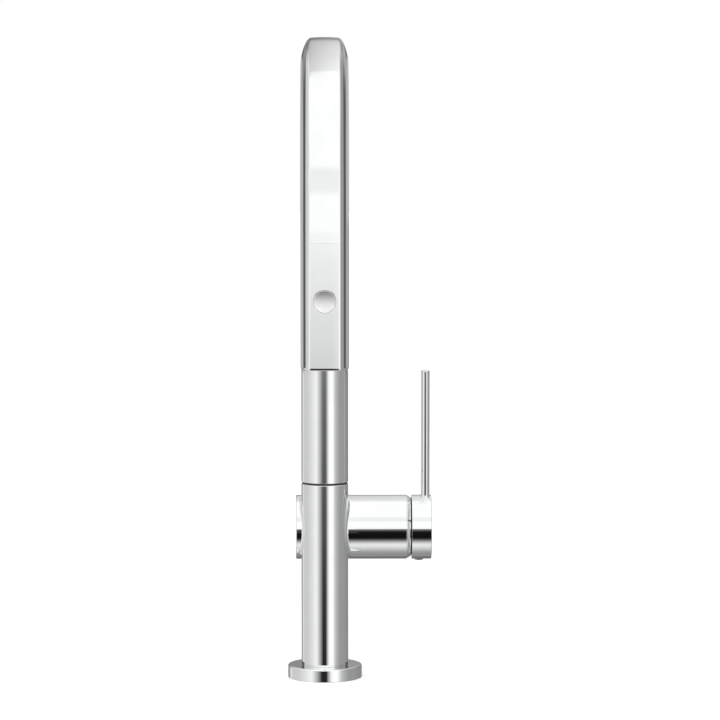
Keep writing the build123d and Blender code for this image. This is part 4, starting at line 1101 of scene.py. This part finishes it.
boss = [(BOSS_X, 0), (BOSS_X, BOSS_R), (bowl[0][0], BOSS_R)]
hub_inside = np.concatenate([boss, bowl, hub_mouth])
skin_rows = np.stack([hub_rows, 0 * hub_rows + HOUSING_R], -1)
on_hub = housing_centre, "x", hub_turns
hub_grid = turned(skin_rows, *on_hub)
pin_end = 2 * HUB_HALF
first_plug = pin_end + len(side_turns) + 1
last_plug = first_plug + 2 * HUB_HALF
hub_grids = [
    turned(np.concatenate([hub_inside, skin_rows[:1]]), *on_hub),
    turned(np.concatenate([skin_rows[-1:], hub_end]), *on_hub),
    hub_grid[: HUB_GAP + 1, : first_plug + 1],
    hub_grid[: HUB_GAP + 1, last_plug:],
    hub_grid[HUB_GAP : pin_end + 1, pin_end : first_plug + 1],
    hub_grid[HUB_GAP : pin_end + 1, last_plug:],
    hub_grid[pin_end:, pin_end:],
]


def hub_surface(centre_x, sign):
    """The hub's round side seen from above or below: x along, y across, z from the circle."""

    def at(x, y, depth):
        z = sign * (np.sqrt(HOUSING_R**2 - y**2) - depth)
        return np.stack([centre_x + x, HOUSING_Y + y, HOUSING_Z + z], -1)

    return at


pin_depth = HOUSING_Z + HOUSING_R - PIN_LOW.z
plug_depth = PLUG_HIGH.z - (HOUSING_Z - HOUSING_R)
patch = patch_half, pin_end
hub_grids.append(pierced(hub_surface(PIN_X, 1), *patch, PIN_R + PIN_GAP, pin_depth))
hub_grids.append(pierced(hub_surface(PLUG_X, -1), *patch, PLUG_R + PLUG_GAP, plug_depth))
skin("hub", hub_grids, "lever", "chrome", ["lever_hub"])

# %% [markdown]
# The lever itself is a thin pin that stands upright in the hub, with a softly rounded tip.

# %% Lever pin
pin = rounded([
    (PIN_LOW.z, 0, 0),
    (PIN_LOW.z, PIN_R, 0.2 * MM),
    (PIN_HIGH.z, PIN_R, 0.7 * MM),
    (PIN_HIGH.z, 0, 0),
])
skin("pin", [turned(pin, (PIN_X, HOUSING_Y, 0))], "lever", "chrome", ["lever_pin"])

# %% [markdown]
# Below the worktop sits the threaded shank. Its thread is a helix: the radius goes in and out
# along the height, and a full turn moves the pattern up by one pitch. Both ends run out.

# %% Threaded shank
SHANK_LOW, SHANK_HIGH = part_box("mounting_shank")
SHANK_R = SHANK_HIGH.x
SHANK_HOLE_R = 13.5 * MM
SHANK_NECK_R = 15.0 * MM
THREAD_BOTTOM = SHANK_LOW.z + 1.0 * MM
THREAD_TOP = -1.0 * MM
PITCH = 1.5 * MM
THREAD_DEEP = 0.8 * MM
ROWS_PER_PITCH = 8
THREAD_STEPS = 96
FLANK_SLOPE = 2.6
GROOVE_FLAT = 0.15
COLLAR_Z = 0.2 * MM
TIP_BEVEL = 0.4 * MM
turn = np.linspace(0, 2 * np.pi, THREAD_STEPS + 1)
level = np.arange(THREAD_BOTTOM, THREAD_TOP, PITCH / ROWS_PER_PITCH)[:, None]
phase = np.mod(level / PITCH - turn / (2 * np.pi), 1.0)
flank = np.clip(FLANK_SLOPE * np.abs(phase - 0.5) - GROOVE_FLAT, 0, 1)
fade = np.clip((level - level[0]) / PITCH, 0, 1) * np.clip((level[-1] - level) / PITCH, 0, 1)
thread_r = SHANK_R - THREAD_DEEP * (1 - fade * (1 - flank))
thread = round_axis(thread_r, turn, level)
root_r = SHANK_R - THREAD_DEEP
upper = rounded([
    (level[-1, 0], root_r, 0),
    (COLLAR_Z, root_r, 0),
    (COLLAR_Z, SHANK_NECK_R, 0),
    (SHANK_HIGH.z, SHANK_NECK_R, 0.3 * MM),
    (SHANK_HIGH.z, SHANK_HOLE_R, 0.2 * MM),
    (SHANK_LOW.z, SHANK_HOLE_R, 0.3 * MM),
    (SHANK_LOW.z, root_r - TIP_BEVEL, 0),
    (level[0, 0], root_r, 0),
])
skin("shank", [thread, turned(upper, angles=turn)], "mixer_body", "brass", ["mounting_shank"])

# %% [markdown]
# The nozzles are soft silicone teats, one in each hole of the spray plate. Each one is a small
# turned cone with a round tip and a fine opening, joined to a flat ring behind the plate.

# %% Soft nozzles
NOZZLES = 18
NOZZLE_CIRCLE = 10.6 * MM
TIP_LOW, TIP_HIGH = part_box("spray_nozzles")
TEAT_R = 0.7 * MM
TEAT_TAPER = 0.08 * MM
OPENING_R = 0.3 * MM
OPENING_TOP = TIP_LOW.z + 1.2 * MM
TEAT_STEPS = 24
RING_WIDE = TIP_HIGH.x - NOZZLE_CIRCLE
RING_THICK = 1.0 * MM
ring_low = TIP_HIGH.z - RING_THICK
teat = rounded([
    (ring_low, TEAT_R, 0),
    (TIP_LOW.z, TEAT_R - TEAT_TAPER, 0.25 * MM),
    (TIP_LOW.z, OPENING_R, 0.08 * MM),
    (OPENING_TOP, OPENING_R, 0),
    (OPENING_TOP, 0, 0),
])
teat_turns = np.linspace(0, 2 * np.pi, TEAT_STEPS + 1)
grids = []
for turn in 2 * np.pi * (np.arange(NOZZLES) + 0.5) / NOZZLES:
    place = (NOZZLE_CIRCLE * math.sin(turn), REACH_Y + NOZZLE_CIRCLE * math.cos(turn), 0)
    grids.append(turned(teat, place, angles=teat_turns))
ring_inner, ring_outer = NOZZLE_CIRCLE - RING_WIDE, NOZZLE_CIRCLE + RING_WIDE
flat_ring = ring_profile(ring_low, TIP_HIGH.z, ring_inner, ring_outer)
grids.append(turned(flat_ring, (0, REACH_Y, 0)))
skin("nozzles", grids, "handset", "rubber", ["spray_nozzles"])

# %% [markdown]
# When the handset is pulled out, a new length of hose shows between it and the spout. One piece
# of hose stands for it: a straight tube where the working model's drawn hose is, riding on no body.

# %% Hose that is drawn out
DRAWN_LOW, DRAWN_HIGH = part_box("hose_drawn")
DRAWN_R = (DRAWN_HIGH.x - DRAWN_LOW.x) / 2
HOSE_WALL = 1.2 * MM
HOSE_RINGS = 120
HOSE_STEPS = 48
levels = np.linspace(DRAWN_LOW.z, DRAWN_HIGH.z, HOSE_RINGS + 1)
outside = np.stack([levels, DRAWN_R + 0 * levels], -1)
hose_inside = np.stack([levels[::-1], DRAWN_R - HOSE_WALL + 0 * levels], -1)
hose_profile = np.concatenate([outside, hose_inside, outside[:1]])
hose_turns = np.linspace(0, 2 * np.pi, HOSE_STEPS + 1)
drawn = skin("hose", [turned(hose_profile, (0, REACH_Y, 0), angles=hose_turns)], None, "hose")
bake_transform(drawn)
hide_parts("hose_drawn")
